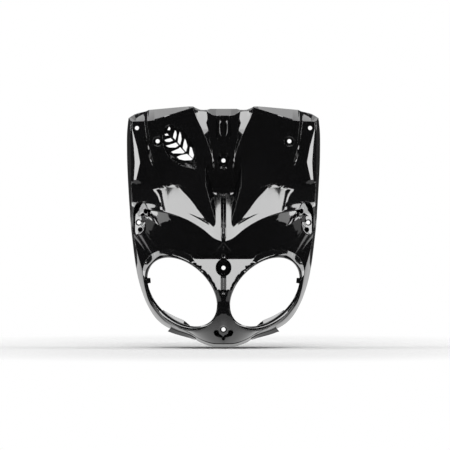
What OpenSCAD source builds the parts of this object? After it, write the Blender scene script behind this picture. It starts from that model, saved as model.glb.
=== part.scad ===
// Motorcycle headlight mask: one moulded gloss shell with two lamp openings.
// Upright as fitted: Z up, the face looks toward -Y, X to the right.
// Construction: a face sheet is laid through named lines, thickened to the
// wall, then cups, pockets, vent and screw holes are set into it.

/* [Overall size] */
// width across the side walls
face_w = 332; // [300:1:365]
// height from the chin to the top edge
face_h = 410; // [370:1:450]
// depth from the rear edge to the nose
face_d = 165; // [145:1:185]
// wall thickness of the moulding
wall = 2.5; // [2:0.1:3]

/* [Face shape] */
// upward tilt of the two bright slopes above the brow
valley_tilt = 37; // [33:0.5:41]
// upward tilt of the pointed blades that run down to the nose
blade_tilt = 22; // [18:0.5:26]
// upward tilt of the middle panel near the top
middle_tilt = 20; // [14:0.5:24]
// height of the raised finger rib at the top of the middle panel
rib_high = 4; // [2:0.5:6]
// height of the sharp keel that runs down to the nose
keel_high = 5; // [3:0.5:7]

/* [Lamp openings] */
// length of each oval opening
lamp_long = 137; // [129:1:141]
// width of each oval opening
lamp_short = 91; // [85:1:95]
// angle of the long axis from level
lamp_turn = 43.2; // [40:0.2:46]
// depth of the return flange behind the rim
flange_deep = 9; // [6:0.5:14]

/* [Screws] */
// radius of every screw hole
hole_r = 3.5; // [3:0.1:4]
// radius of the dish round a face screw
dish_r = 9; // [8:0.2:10]
// depth of that dish
dish_deep = 5; // [4:0.5:7]

/* [Hidden] */
$fn = 48;

// The lines below are drawn for a face 332 wide, 410 high and 165 deep.
fit_x = face_w / 332;
fit_z = face_h / 410;
fit_d = face_d / 165;
tan_v = tan(valley_tilt);
tan_b = tan(blade_tilt);
tan_m = tan(middle_tilt);

// Small helpers: blend, soft step, soft maximum and a smooth curve.
function mix(a, b, t) = a + (b - a) * t;
function step_up(a, b, x) = let(t = max(0, min(1, (x - a) / (b - a)))) t * t * (3 - 2 * t);
function soft_max(a, b, r) = let(h = max(r - abs(a - b), 0) / r) max(a, b) + h * h * r / 4;
function span_of(x, t, i = 0) = i >= len(t) - 2 || x < t[i + 1][0] ? i : span_of(x, t, i + 1);
function lean(t, i) =
    i == 0 ? (t[1][1] - t[0][1]) / (t[1][0] - t[0][0])
    : i == len(t) - 1 ? (t[i][1] - t[i - 1][1]) / (t[i][0] - t[i - 1][0])
    : (t[i + 1][1] - t[i - 1][1]) / (t[i + 1][0] - t[i - 1][0]);
function curve(x, t) =
    let(i = span_of(x, t), a = t[i], b = t[i + 1], h = b[0] - a[0])
    let(s = max(0, min(1, (x - a[0]) / h)), q = s * s, c = q * s)
    a[1] * (2 * c - 3 * q + 1) + lean(t, i) * h * (c - 2 * q + s)
    + b[1] * (3 * q - 2 * c) + lean(t, i + 1) * h * (c - q);
function line(x, t) =
    let(i = span_of(x, t), a = t[i], b = t[i + 1])
    mix(a[1], b[1], max(0, min(1, (x - a[0]) / (b[0] - a[0]))));

// Named lines of the face. u is the distance from the centre line, z the
// height above the chin and d the depth in front of the rear edge.

// brow crease: height along the face
brow_line = [[0, 179], [16, 185.3], [35, 200.6], [57, 214.2], [79, 223.5], [100, 229.5],
    [130, 234], [160, 237]];
function brow_z(u) = curve(u, brow_line);
function brow_d(u) = 128 - 73 * pow(u / 160, 2.4);

// lower edge of each blade, where it rises out of the bright slope
blade_line = [[15, 205.5], [17.5, 206.8], [23, 210], [40, 229.5], [57, 251.6], [81, 277], [160, 277]];
function blade_z(u) = line(u, blade_line);

// outer crease above the brow: [height, [u, depth]]
side_line = [[180, [151, 67]], [195, [154, 63]], [215, [156, 60]], [237, [156.4, 57]],
    [262, [157, 52]], [300, [157.5, 46]], [343, [158, 41]], [384, [158, 38]]];

// rear edge above the brow: [height, [u, depth]]
rear_line = [[195, [158, 3]], [237, [161.3, 0]], [263, [163, 0]], [304, [165.2, 0]],
    [330, [166, 0]], [365, [166, 1]], [386, [164, 4]]];

// top crease and top edge: [u, height], [u, [edge u, edge height, edge depth]]
top_line = [[0, 393], [19, 394], [28, 401], [46, 402.5], [52, 407], [57, 405.5], [91, 394.5],
    [121, 385.5], [158, 384]];
top_edge = [[0, [0, 406.3, 28]], [23, [23, 406.3, 28]], [30, [30, 404, 32]], [42, [42, 404.6, 42]],
    [52, [52, 409.7, 50]], [62, [62, 409.7, 49]], [91, [91, 407.4, 39]], [128, [128, 404.6, 24]],
    [133, [133, 402.2, 22]], [150, [151, 398.4, 14]], [158, [163, 391, 12]]];

// Depth of the panels above the brow.
function slope_d(u, z) = brow_d(u) - tan_v * (z - brow_z(u));
function blade_d(u, z) = slope_d(u, blade_z(u)) - tan_b * (z - blade_z(u));
function upper_d(u, z) = 64.5 - 0.08 * (z - 320) - 0.02 * (u - 52);
function wing_d(u, z) =
    let(panel = soft_max(blade_d(u, z), upper_d(u, z), 8))
    u < 80 ? max(panel, slope_d(u, z)) : soft_max(panel, slope_d(u, z), mix(0.2, 9, step_up(80, 92, u)));
function middle_d(u, z) =
    soft_max(slope_d(u, z), 66.5 - tan_m * max(0, z - 326), 5) + keel_d(u, z) + rib_d(u, z);
function keel_d(u, z) = keel_high * max(0, 1 - u / 3.4) * step_up(180, 190, z) * (1 - step_up(246, 262, z));
function rib_d(u, z) =
    let(ends = step_up(346, 364, z) * (1 - step_up(395, 403, z)), leg = max(0, 1 - pow((u - 8) / 4.9, 2)))
    rib_high * ends * max(leg, (u < 8 ? 1 : leg) * step_up(380, 392, z));
function flank_d(u, z, ridge_u, ridge_depth, edge) =
    let(s = max(0, min(1, (u - ridge_u) / (edge[0] - ridge_u))))
    let(a = ridge_depth - brow_d(ridge_u), b = edge[1] - brow_d(edge[0]))
    mix(a, b, s) + brow_d(u) + 9 * s * (1 - s) * step_up(245, 300, z);

// Rows of the upper sheet: [row, [[u, height], ...]]
rows = [
    brow_line,
    [[0, 197], [15, 205.5], [17.5, 206.8], [57, 226], [100, 239], [160, 247]],
    [[0, 215], [16, 221], [40, 229.5], [57, 237.5], [100, 249], [160, 257]],
    [[0, 237], [25, 243], [57, 251.6], [81, 257], [104, 261], [160, 268]],
    [[0, 260], [17, 263.5], [34, 269], [81, 277], [110, 277], [160, 282]],
    [[0, 297], [31, 302], [160, 304]],
    [[0, 326], [160, 327]],
    [[0, 350], [160, 350]],
    [[0, 373], [160, 370]],
    top_line];
row_cuts = [1, 2, 2, 2, 2, 2, 2, 2, 2];

// Rails of the upper sheet: u on each key row, and how far the rail lies on
// the wing (1) or on the sunk middle panel (0).
rails = [
    [[0, 0, 0, 0, 0, 0, 0, 0, 0, 0], [0, 0, 0, 0, 0, 0, 0, 0, 0, 0]],
    [[3.4, 3.4, 3.4, 3.4, 3.4, 4, 4.3, 4.3, 4.3, 4.3], [0, 0, 0, 0, 0, 0, 0, 0, 0, 0]],
    [[6.4, 6.4, 6.8, 7.2, 8, 10.5, 11.5, 12.7, 12.7, 12.7], [0, 0, 0, 0, 0, 0, 0, 0, 0, 0]],
    [[9, 9, 9.4, 10.2, 12, 15, 17.6, 23, 24.8, 28.1], [0, 0, 0, 0, 0, 0, 0, 0, 0, 0]],
    [[11.6, 11.2, 11.4, 12.4, 14.6, 19, 20, 28.2, 37.4, 51.9], [0, 0, 0, 0, 0, 0, 1, 1, 1, 1]],
    [[14, 13.2, 13, 14.2, 17, 28, 34, 40, 48, 60], [0, 0, 0, 0, 0, 0, 1, 1, 1, 1]],
    [[17, 15.3, 20, 25.2, 32.5, 43.5, 48, 54, 62, 72], [0, 0, 1, 1, 1, 1, 1, 1, 1, 1]],
    [[21, 17.5, 40, 57, 80.8, 84, 84, 86, 90, 96], [1, 1, 1, 1, 1, 1, 1, 1, 1, 1]],
    [[62, 64, 74, 84, 96, 100, 104, 106, 108, 112], [1, 1, 1, 1, 1, 1, 1, 1, 1, 1]],
    [[99.5, 102, 104, 106, 110.5, 116, 122.2, 126, 128.4, 130], [1, 1, 1, 1, 1, 1, 1, 1, 1, 1]],
    [[102, 104.5, 106.5, 109, 113.5, 120, 128, 130.6, 133, 135], [1, 1, 1, 1, 1, 1, 1, 1, 1, 1]],
    [[130, 131, 132, 134, 136, 139, 143, 145, 146, 147], [1, 1, 1, 1, 1, 1, 1, 1, 1, 1]]];
rail_cuts = [1, 2, 1, 1, 2, 1, 3, 2, 2, 1, 2, 2];
ridge = 9;
ledge = 10;
ledge_step = [0, 0, 0, 0, 0, 0, 2.5, 3, 3, 3];

// The positions at which rows and columns are cut, as fractions of a key step.
function cuts(list) = [for (i = [0 : len(list) - 1]) for (j = [0 : list[i] - 1]) i + j / list[i]];
row_at = concat(cuts(row_cuts), [len(row_cuts)]);
rail_at = concat(cuts(rail_cuts), [len(rail_cuts)]);
row_count = len(row_at) - 1;
rail_count = len(rail_at) - 1;

function key_of(list, v) =
    let(i = min(floor(v), len(list) - 2))
    mix(list[i], list[i + 1], v - i);
function row_z(v, u) =
    let(i = min(floor(v), len(rows) - 2))
    mix(curve(u, rows[i]), curve(u, rows[i + 1]), v - i);
function edge_of(v) =
    let(z0 = row_z(v, 157), e = curve(z0, side_line))
    [e[0], e[1], row_z(v, e[0])];
function rail_u(c, v) =
    let(i = min(floor(c), len(rails) - 1), a = key_of(rails[i][0], v))
    mix(a, i == len(rails) - 1 ? edge_of(v)[0] : key_of(rails[i + 1][0], v), c - i);
function rail_m(c, v) =
    let(i = min(floor(c), len(rails) - 1), a = key_of(rails[i][1], v))
    mix(a, i == len(rails) - 1 ? 1 : key_of(rails[i + 1][1], v), c - i);
function upper_depth(c, v, u, z) =
    c < ridge + 0.001 ? (let(m = rail_m(c, v)) mix(middle_d(u, z), wing_d(u, z), m))
    : let(ru = key_of(rails[ridge][0], v), rd = wing_d(ru, row_z(v, ru)))
      let(lu = key_of(rails[ledge][0], v), ld = rd - key_of(ledge_step, v) - 0.35 * (lu - ru))
      let(e = edge_of(v))
      c < ledge ? mix(rd, flank_d(lu, z, lu, ld, e), c - ridge) : flank_d(u, z, lu, ld, e);
function upper_node(c, v) =
    let(e = edge_of(v), u = c >= len(rails) ? e[0] : rail_u(c, v), z = row_z(v, u))
    v == 0 ? [u, z, brow_d(u)]
    : c >= len(rails) ? [u, z, e[1]]
    : [u, z, upper_depth(c, v, u, z)];
upper = [for (v = row_at) [for (c = rail_at) upper_node(c, v)]];

// The lamp opening and the rings that run out from it. Angles are measured
// on the oval from its upper outer end.
lamp_mid = [69.9, 94.7];
lamp_a = [cos(lamp_turn), sin(lamp_turn)];
lamp_b = [-sin(lamp_turn), cos(lamp_turn)];
function oval(f) = lamp_mid + lamp_a * lamp_long / 2 * cos(f) + lamp_b * lamp_short / 2 * sin(f);
function oval_out(f) =
    let(n = lamp_a * cos(f) / lamp_long + lamp_b * sin(f) / lamp_short)
    n / norm(n);

// round the rim: [angle, [rim depth, rim set-out, foot set-out, foot depth]]
rim_line = [
    [-210, [159, 1.2, 4, 161.5]], [-195, [160.5, 1.6, 3.2, 162]], [-180, [160, 2.5, 2, 159.5]],
    [-165, [157, 4.5, 2, 156]], [-150, [152, 6, 2, 150.5]], [-130, [144.5, 7, 2, 142.5]],
    [-115, [136, 7.4, 1.8, 133.5]], [-98, [126, 7, 1.6, 123]], [-86, [118, 6.8, 1.4, 116]],
    [-70, [109, 6, 1.3, 107]], [-53, [102, 4, 1.3, 101]], [-37, [98, 3.5, 1.4, 97]],
    [-19, [96.5, 2.5, 7.5, 90.5]], [-10, [97, 1.8, 9.5, 87]], [0, [98, 1.5, 11.5, 84.5]],
    [10, [100.5, 1.3, 12.5, 89]], [25, [106, 1.2, 13, 97]], [46, [120, 1.2, 13, 110.5]],
    [63, [128.5, 1.3, 13, 118]], [76, [134, 1.6, 13, 121.5]], [88, [139, 1.8, 22, 123]],
    [94, [142, 1.8, 13, 137.5]], [104, [147, 1.6, 10, 144.5]], [120, [152.5, 1.5, 6, 153.5]],
    [142, [158, 1.2, 4.5, 160.5]], [150, [159, 1.2, 4, 161.5]], [165, [160.5, 1.6, 3.2, 162]]];
function rim(f) = curve(f > 165 ? f - 360 : f, rim_line);

// outer stations below the brow: [angle, [u, z, depth, rear u, rear z, rear depth]]
low_line = [
    [23, [156.4, 237, 57, 161.3, 237, 0]], [14, [156, 212, 60.5, 160, 212, 1]],
    [5.7, [151.3, 181.9, 67, 156.6, 182, 5]], [-6, [145.4, 156.4, 78, 153.2, 155, 10]],
    [-19.5, [138.8, 134.3, 89, 149.4, 131, 16]], [-37.3, [135.4, 113.9, 96.5, 145.2, 112, 22]],
    [-52.9, [132, 96.9, 100.5, 140, 95, 29]], [-70.2, [125, 76.5, 105.5, 131.6, 74, 38]],
    [-86.6, [111.8, 57.8, 113, 118.5, 52, 46]], [-98, [99.8, 45.7, 118, 104.6, 38.5, 52]],
    [-116, [78, 31.2, 122, 83, 23, 60]], [-130.8, [57, 17, 106, 59, 10.8, 66]],
    [-143.5, [38, 10.5, 99, 39.5, 5, 69]], [-155.7, [19, 7, 95.5, 19.7, 1.3, 71]],
    [-167.2, [0, 6, 94.5, 0, 0, 72]]];
// up the centre line: [angle, [u, z, depth]]
mid_line = [
    [-167.2, [0, 6, 94.5]], [-180, [0, 28, 131]], [-195, [0, 49.3, 165]], [-218, [0, 76, 163]],
    [-240, [0, 102, 155]], [-256, [0, 128, 139.5]], [-266, [0, 155, 124]], [-272.3, [0, 179, 128]]];
// angle at which each point of the brow meets the oval
brow_turn = [[0, 87.7], [57, 63.4], [100, 45.7], [156.4, 23]];

low_at = [1, 2, 2.6, 3.2, 4, 4.5, 5, 5.5, 6, 6.5, 7, 7.5, 8, 9, 9.6, 10.2, 11, 12, 13, 14];
low_turn = [for (q = low_at) mix(low_line[floor(q)][0], low_line[min(14, floor(q) + 1)][0], q - floor(q))];
mid_turn = [-180, -188, -195, -206, -218, -229, -240, -248, -256, -266];
// scoop under the outer end of the brow: [u, [lower edge drop, depth]]
scoop_line = [[0, [4, 0]], [77, [6, 0]], [85, [9, 2]], [117, [27, 9]], [130, [20, 12]], [146, [14, 7]],
    [151, [10, 0]], [156.4, [10, 0]]];

function back_turned(t, n = 0) = [for (i = [len(t) - 1 : -1 : 0]) t[i]];
low_table = back_turned(low_line);
mid_table = back_turned(mid_line);

// Each station is one line from the oval outward: its nodes are [u, z, depth].
face_frac = [0.16, 0.58, 1];
out_frac = [0.45, 0.85];
function station(f, edge, brow) =
    let(r = rim(f), e = oval(f), n = oval_out(f), reach = norm([edge[0], edge[1]] - e))
    let(set = min(r[1], reach * 0.62), foot = min(set + r[2], reach * 0.84))
    let(fe = [e[0] + n[0] * set, e[1] + n[1] * set, r[0]])
    let(way = ([edge[0], edge[1]] - e) / reach)
    let(bend = step_up(8, 30, r[2]))
    let(dir = n * (1 - bend) + way * bend)
    let(ft = [e[0] + dir[0] * foot, e[1] + dir[1] * foot, r[3]])
    let(s = curve(edge[0], scoop_line))
    let(part = s[0] / max(8, edge[1] - ft[1]), low = mix(edge, ft, part) + [0, 0, 0.4])
    concat(
        [[e[0], e[1], r[0] - 5 - flange_deep], [e[0], e[1], r[0] - 5], fe],
        [for (q = face_frac) [mix(fe[0], ft[0], q), mix(fe[1], ft[1], q),
            mix(fe[2], ft[2], q) + (q < 0.2 ? 0.9 : q < 1 ? 0.6 : 0)]],
        brow ? [for (q = out_frac) mix(ft, low, q)] : [for (q = out_frac) mix(ft, edge, q)],
        brow ? [low, mix(edge, low, 1.5 / s[0]) - [0, 0, s[1]]] : [mix(ft, edge, 0.92), mix(ft, edge, 0.96)],
        [edge]);

stations = concat(
    [for (c = rail_at) let(p = upper_node(c, 0)) station(curve(p[0], brow_turn), p, true)],
    [for (f = low_turn) let(q = curve(f, low_table)) station(f, [q[0], q[1], q[2]], false)],
    [for (f = mid_turn) let(q = curve(f, mid_table)) station(f, [0, q[1], q[2]], false)]);
station_count = len(stations);
ring_count = len(stations[0]);

// The outline: crease node, rear node. It runs from the top centre, along
// the top, down the side and under the chin to the centre.
outline = concat(
    [for (j = [0 : rail_count]) let(p = upper[row_count][j], t = line(p[0], top_edge)) [p, t, 1]],
    [for (i = [row_count - 1 : -1 : 0]) let(p = upper[i][rail_count], t = curve(p[1] + 3, rear_line))
        [p, [t[0], p[1] + 3 * step_up(340, 384, p[1]), t[1]], 0]],
    [for (k = [0 : len(low_turn) - 1]) let(q = curve(low_turn[k], low_table), s = stations[rail_count + 1 + k])
        [s[ring_count - 1], [q[3], q[4], q[5]], 0]]);
outline_count = len(outline);

// Nodes of the side wall: four rings from the crease to the rear edge.
function wall_nodes(o) =
    let(a = o[0], t = o[1], top = o[2])
    [a, mix(a, t, 0.1) + [0, 0, top ? 1.2 : 3],
        top ? t : mix(a, t, 0.55) + [0, 0, 0], top ? [t[0], t[1], t[2] - 8] : t];
walls = [for (o = outline) wall_nodes(o)];
function out_of(o) = let(v = [o[1][0] - o[0][0], o[1][1] - o[0][1]]) v / norm(v);

// From face terms to the part's own millimetres.
function place(p) = [p[0] * fit_x, -p[2] * fit_d, p[1] * fit_z];

// The inner sheet lies one wall behind the outer one.
function steep(a, b) = let(w = norm([a[0] - b[0], a[1] - b[1]])) w < 0.01 ? 0 : (a[2] - b[2]) / w;
function thick(s1, s2, cap) = wall / fit_d * min(cap, sqrt(1 + s1 * s1 + s2 * s2));
function shift_in(p, o) = let(n = out_of(o)) [p[0] - n[0] * wall, p[1] - n[1] * wall, p[2]];
function upper_in(i, j) =
    let(p = upper[i][j])
    i == row_count ? shift_in(p, outline[j]) - [0, 0, wall * 1.3]
    : j == rail_count ? shift_in(p, outline[rail_count + row_count - i]) - [0, 0, wall * 1.3]
    : i == 0 ? p - [0, 0, wall * 1.15]
    : p - [0, 0, thick(steep(upper[i + 1][j], upper[i - 1][j]),
        j == 0 ? 0 : steep(upper[i][j + 1], upper[i][j - 1]), 2.3)];
inner_upper = [for (i = [0 : row_count]) [for (j = [0 : rail_count]) upper_in(i, j)]];

// depth of a station's outer line at a distance x from the oval, and the
// deepest reach of a ball of one wall's radius rolled along its back
function depth_table(st, e, way) =
    [for (r = [2 : ring_count - 1]) [(st[r][0] - e[0]) * way[0] + (st[r][1] - e[1]) * way[1] + r * 0.001, st[r][2]]];
ball = [for (i = [-4 : 4]) [i / 4 * 0.97, sqrt(1 - pow(i / 4 * 0.97, 2))]];
function behind(x, table) = min([for (q = ball) line(x + q[0] * wall, table) - q[1] * wall / fit_d]);
function point_at(x, st, e, way) =
    let(tu = [for (r = [0 : ring_count - 1])
        [(st[r][0] - e[0]) * way[0] + (st[r][1] - e[1]) * way[1] + r * 0.001, [st[r][0], st[r][1]]]])
    line(x, tu);
function station_in(s) =
    let(st = stations[s], e = st[0], b = st[ring_count - 1], reach = norm([b[0] - e[0], b[1] - e[1]]))
    let(way = [(b[0] - e[0]) / reach, (b[1] - e[1]) / reach])
    let(k = s - rail_count - 1, side = k >= 0 && k < len(low_turn))
    let(f = k < 0 ? curve(b[0], brow_turn) : side ? low_turn[k] : mid_turn[k - len(low_turn)])
    let(n = oval_out(f), fin = [e[0] + n[0] * wall, e[1] + n[1] * wall])
    let(last = k < 0 ? inner_upper[0][s]
        : side ? shift_in(b, outline[rail_count + row_count + 1 + k]) - [0, 0, wall * 1.3]
        : b - [0, 0, wall * 1.3])
    let(table = depth_table(st, e, way), x0 = (fin[0] - e[0]) * way[0] + (fin[1] - e[1]) * way[1])
    let(x1 = (last[0] - e[0]) * way[0] + (last[1] - e[1]) * way[1], slip = [last[0], last[1]] - point_at(x1, st, e, way))
    let(step = min(0.5, (x1 - x0) / (ring_count + 1)), skew = fin - point_at(x0, st, e, way))
    [for (r = [0 : ring_count - 1])
        r == 0 ? [fin[0], fin[1], st[0][2]]
        : r == 1 ? [fin[0], fin[1], st[1][2] - wall * 0.9]
        : r == ring_count - 1 ? last
        : let(x = max(x0 + step * (r - 1.4), min(table[r - 2][0], x1 - step * (ring_count - 1 - r))))
          let(g = (x - x0) / (x1 - x0), q = point_at(x, st, e, way) + slip * g + skew * (1 - g))
          [q[0], q[1], behind(x, table) - (r == 2 ? 1 : 0)]];
inner_rings = [for (s = [0 : station_count - 1]) station_in(s)];

function wall_in(k, w) =
    let(o = outline[k], p = walls[k][w])
    w == 0 ? (k <= rail_count ? inner_upper[row_count][k]
        : k <= rail_count + row_count ? inner_upper[rail_count + row_count - k][rail_count]
        : inner_rings[rail_count + 1 + k - rail_count - row_count - 1][ring_count - 1])
    : shift_in(p, o) - [0, 0, w == 1 ? wall * 0.8 : 0];
inner_walls = [for (k = [0 : outline_count - 1]) [for (w = [0 : 3]) wall_in(k, w)]];

// Sheets into facets. Each cell becomes two triangles.
function cell(a, b, c, d) = [[a, b, c], [a, c, d]];
function sheet(g, closed = false) =
    [for (i = [0 : len(g) - (closed ? 1 : 2)]) for (j = [0 : len(g[0]) - 2])
        let(n = (i + 1) % len(g))
        for (t = cell(g[i][j], g[n][j], g[n][j + 1], g[i][j + 1])) t];
function turned(list) = [for (t = list) [t[2], t[1], t[0]]];
function rim_cells(a, b, closed = false) =
    [for (i = [0 : len(a) - (closed ? 1 : 2)]) let(n = (i + 1) % len(a))
        for (t = cell(a[i], a[n], b[n], b[i])) t];

half_sheet = concat(
    sheet(upper), turned(sheet(inner_upper)),
    turned(sheet(stations, true)), sheet(inner_rings, true),
    turned(sheet(walls)), sheet(inner_walls),
    turned(rim_cells([for (s = inner_rings) s[0]], [for (s = stations) s[0]], true)),
    turned(rim_cells([for (w = walls) w[3]], [for (w = inner_walls) w[3]])));

function flat_area(t) = norm(cross(t[1] - t[0], t[2] - t[0]));
function whole(list) = concat(
    [for (t = list) [for (p = t) place(p)]],
    [for (t = list) [for (p = turned([t])[0]) place([p[0] == 0 ? 0 : -p[0], p[1], p[2]])]]);

// Depth of the outer face at any point, found on its facets.
outer_cells = concat(sheet(upper), sheet([for (t = stations) [for (r = [2 : ring_count - 1]) t[r]]], true));
function near_cells(q, r) =
    [for (t = outer_cells) if (abs(t[0][0] - q[0]) < r && abs(t[0][1] - q[1]) < r) t];
function side_of(q, a, b) = (b[0] - a[0]) * (q[1] - a[1]) - (b[1] - a[1]) * (q[0] - a[0]);
function depth_in(q, t) =
    let(a = side_of(q, t[1], t[2]), b = side_of(q, t[2], t[0]), c = side_of(q, t[0], t[1]), w = a + b + c)
    abs(w) < 1e-9 ? -1 : a / w < -1e-6 || b / w < -1e-6 || c / w < -1e-6 ? -1
    : (a * t[0][2] + b * t[1][2] + c * t[2][2]) / w;
function face_at(q, cells) = max([for (t = cells) depth_in([abs(q[0]), q[1]], t)]);

// Outlines: an oval, and a list grown outward from its middle.
function ring_of(x, z, a, b, n = 24) = [for (i = [0 : n - 1]) [x + a * cos(360 * i / n), z + b * sin(360 * i / n)]];
function middle_of(list) = let(n = len(list)) [for (i = [0, 1]) [for (p = list) p[i]] * [for (p = list) 1 / n]];
function grown(list, by) = let(m = middle_of(list)) [for (p = list) p + (p - m) / norm(p - m) * by];
function fuller(list) = let(n = len(list)) [for (i = [0 : n - 1]) for (h = [0, 1])
    h == 0 ? list[i]
    : (9 * (list[i] + list[(i + 1) % n]) - list[(i + n - 1) % n] - list[(i + 2) % n]) / 16];
function flipped(list) = [for (i = [len(list) - 1 : -1 : 0]) [-list[i][0], list[i][1]]];

// A block between two outlines of equal count, each with its depths. The
// outlines run anticlockwise as seen from the front.
module block(back, back_d, front, front_d) {
    n = len(back);
    mb = middle_of(back);
    mf = middle_of(front);
    pts = concat(
        [for (i = [0 : n - 1]) place([back[i][0], back[i][1], back_d[i]])],
        [for (i = [0 : n - 1]) place([front[i][0], front[i][1], front_d[i]])],
        [place([mb[0], mb[1], back_d * [for (i = back_d) 1 / n]])],
        [place([mf[0], mf[1], front_d * [for (i = front_d) 1 / n]])]);
    polyhedron(points = pts, faces = concat(
        [for (i = [0 : n - 1]) let(j = (i + 1) % n) [i, n + j, j]],
        [for (i = [0 : n - 1]) let(j = (i + 1) % n) [i, n + i, n + j]],
        [for (i = [0 : n - 1]) let(j = (i + 1) % n) [2 * n, i, j]],
        [for (i = [0 : n - 1]) let(j = (i + 1) % n) [2 * n + 1, n + j, n + i]]));
}
function same(list, d) = [for (p = list) d];

// Cups and pockets: [name, floor outline, floor depths, mouth outline].
wing_screw = [112.2, 350.2];
middle_screw_z = 317.1;
nose_screw_z = 135.2;
chin_screw_z = 31.5;
lug_screw = [144.5, 211.7];
corner_hole = [147.8, 373];
wing_floor = wing_d(112.2, 350.2) - dish_deep / fit_d;
middle_floor = 66.5 - dish_deep / fit_d;
nose_floor = 122.5;
chin_rise = 1.62;
lug_floor = 44;
lug_slope = 0.6;
vent_deep = 6;

function dish(x, z, d) = [ring_of(x, z, 6.3, 6.3), same(ring_of(x, z, 6, 6), d), ring_of(x, z, dish_r / fit_x, dish_r / fit_x)];
lug_crease = 222;
lug_mouth = [[153, 222.2], [129, 222.2], [132.4, 216], [133.5, 207.4], [135.7, 199], [139.8, 193.8], [145, 191.4],
    [149.6, 190.4], [152.3, 196.5], [153.3, 207.4]];
ramp_mouth = [[153, 222], [152.8, 231], [152.4, 235], [151.4, 238], [150, 241], [147.8, 244.6], [143.7, 247.5],
    [138, 247], [133, 244.8], [129.8, 240], [128.6, 234.6], [128.6, 232.3], [128.6, 222]];
function drawn_in(list) = [for (p = list) [mix(p[0], 140.8, 0.09),
    abs(p[1] - lug_crease) < 1 ? p[1] : mix(p[1], lug_crease, 0.06)]];
vent_mouth = [[-46.5, 304], [-48, 322], [-51.5, 341], [-59, 358], [-72, 370], [-90, 378.5], [-99, 373.5],
    [-103.5, 356], [-101, 338], [-91, 322], [-75, 310], [-58, 304.5]];
vent_bed = [[-49.5, 317], [-49.8, 323], [-53.3, 340.5], [-60.3, 356.3], [-72.5, 367.8], [-89.5, 376.3], [-97.5, 371.8],
    [-101.6, 356], [-99.3, 340], [-90, 326.5], [-77, 319.5], [-61, 317.3]];
chin_mouth = [[17, 26.5], [14.5, 31.5], [8.5, 33], [5.5, 37], [0, 39], [-5.5, 37], [-8.5, 33], [-14.5, 31.5],
    [-17, 26.5], [-13.5, 20.5], [-7, 18], [0, 17], [7, 18], [13.5, 20.5]];
chin_bed = [for (p = chin_mouth) [p[0] * 0.93, 27 + (p[1] - 27) * 0.9]];
chin_side = [[13.4, 20.2], [16, 24], [15.8, 28.4], [12.6, 31], [8.6, 30.4], [7.2, 25.6], [8, 20.6]];
chin_slot = [[-2.5, 17.6], [-2.5, 13.2], [0, 12.2], [2.5, 13.2], [2.5, 17.6]];
lug_low = [141.6, 199.4];
lug_high = [132.2, 230.8];

function ramp_depths(list) = [for (p = list) lug_floor - lug_slope * max(0, p[1] - lug_crease)];
function chin_depths(list, sunk) = [for (p = list) 131 + chin_rise * (p[1] - 28) - sunk];
function vent_depths(list) = [for (p = list) upper_d(abs(p[0]), p[1]) - vent_deep / fit_d];
lug = [drawn_in(lug_mouth), same(lug_mouth, lug_floor), lug_mouth];
ramp = [drawn_in(ramp_mouth), ramp_depths(drawn_in(ramp_mouth)), ramp_mouth];
vent = [fuller(vent_bed), vent_depths(fuller(vent_bed)), fuller(vent_mouth)];
lug_dips = [[lug_screw, 5.6, 5.6, lug_floor - 1.5], [lug_low, 3.6, 3.6, lug_floor - 5], [lug_high, 3, 4, lug_floor - 11]];
cups = [
    dish(wing_screw[0], wing_screw[1], wing_floor),
    dish(-wing_screw[0], wing_screw[1], wing_floor),
    [ring_of(0, middle_screw_z, 6.3, 8.5), same(ring_of(0, 0, 1, 1), middle_floor), ring_of(0, 318, 10.2, 16)],
    [ring_of(0, 135.6, 9.8, 11.4), same(ring_of(0, 0, 1, 1), nose_floor), ring_of(0, 135.6, 13.2, 14.4)],
    [ring_of(0, chin_screw_z, 5.2, 5.2, 20), same([for (i = [1 : 20]) i], nose_floor),
        ring_of(0, chin_screw_z, 5.5, 5.5, 20)],
    [chin_bed, chin_depths(chin_bed, 4), chin_mouth],
    [grown(chin_side, -0.8), chin_depths(grown(chin_side, -0.8), 11), chin_side],
    [grown(flipped(chin_side), -0.8), chin_depths(grown(flipped(chin_side), -0.8), 11), flipped(chin_side)],
    [grown(chin_slot, -0.6), chin_depths(grown(chin_slot, -0.6), 9), chin_slot],
    lug, [flipped(lug[0]), lug[1], flipped(lug[2])],
    ramp, [flipped(ramp[0]), ramp_depths(flipped(ramp[0])), flipped(ramp[2])],
    for (side = [-1, 1]) for (c = lug_dips)
        [ring_of(side * c[0][0], c[0][1], c[1], c[2], 16), same([for (i = [1 : 16]) i], c[3]),
            ring_of(side * c[0][0], c[0][1], c[1] + 0.3, c[2] + 0.3, 16), c[3] + 3],
    vent];

// the body of a cup, buried in the face by half a wall
function slant(c) =
    let(z = [for (p = c[0]) p[1]], fall = (max(c[1]) - min(c[1])) / (max(z) - min(z)))
    sqrt(1 + fall * fall);
module cup_body(c) {
    mouth = grown(c[2], wall / fit_x);
    bed = grown(c[0], wall * 1.2 / fit_x);
    cells = near_cells([abs(middle_of(mouth)[0]), middle_of(mouth)[1]], 75);
    back = [for (d = c[1]) d - wall * slant(c) / fit_d];
    front = [for (i = [0 : len(mouth) - 1])
        max(c[1][i] - 1, face_at(mouth[i], cells) - wall * 0.62 * slant(c) / fit_d)];
    block(bed, back, mouth, [for (d = front) min(len(c) > 3 ? c[3] : face_d, d)]);
}
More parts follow.
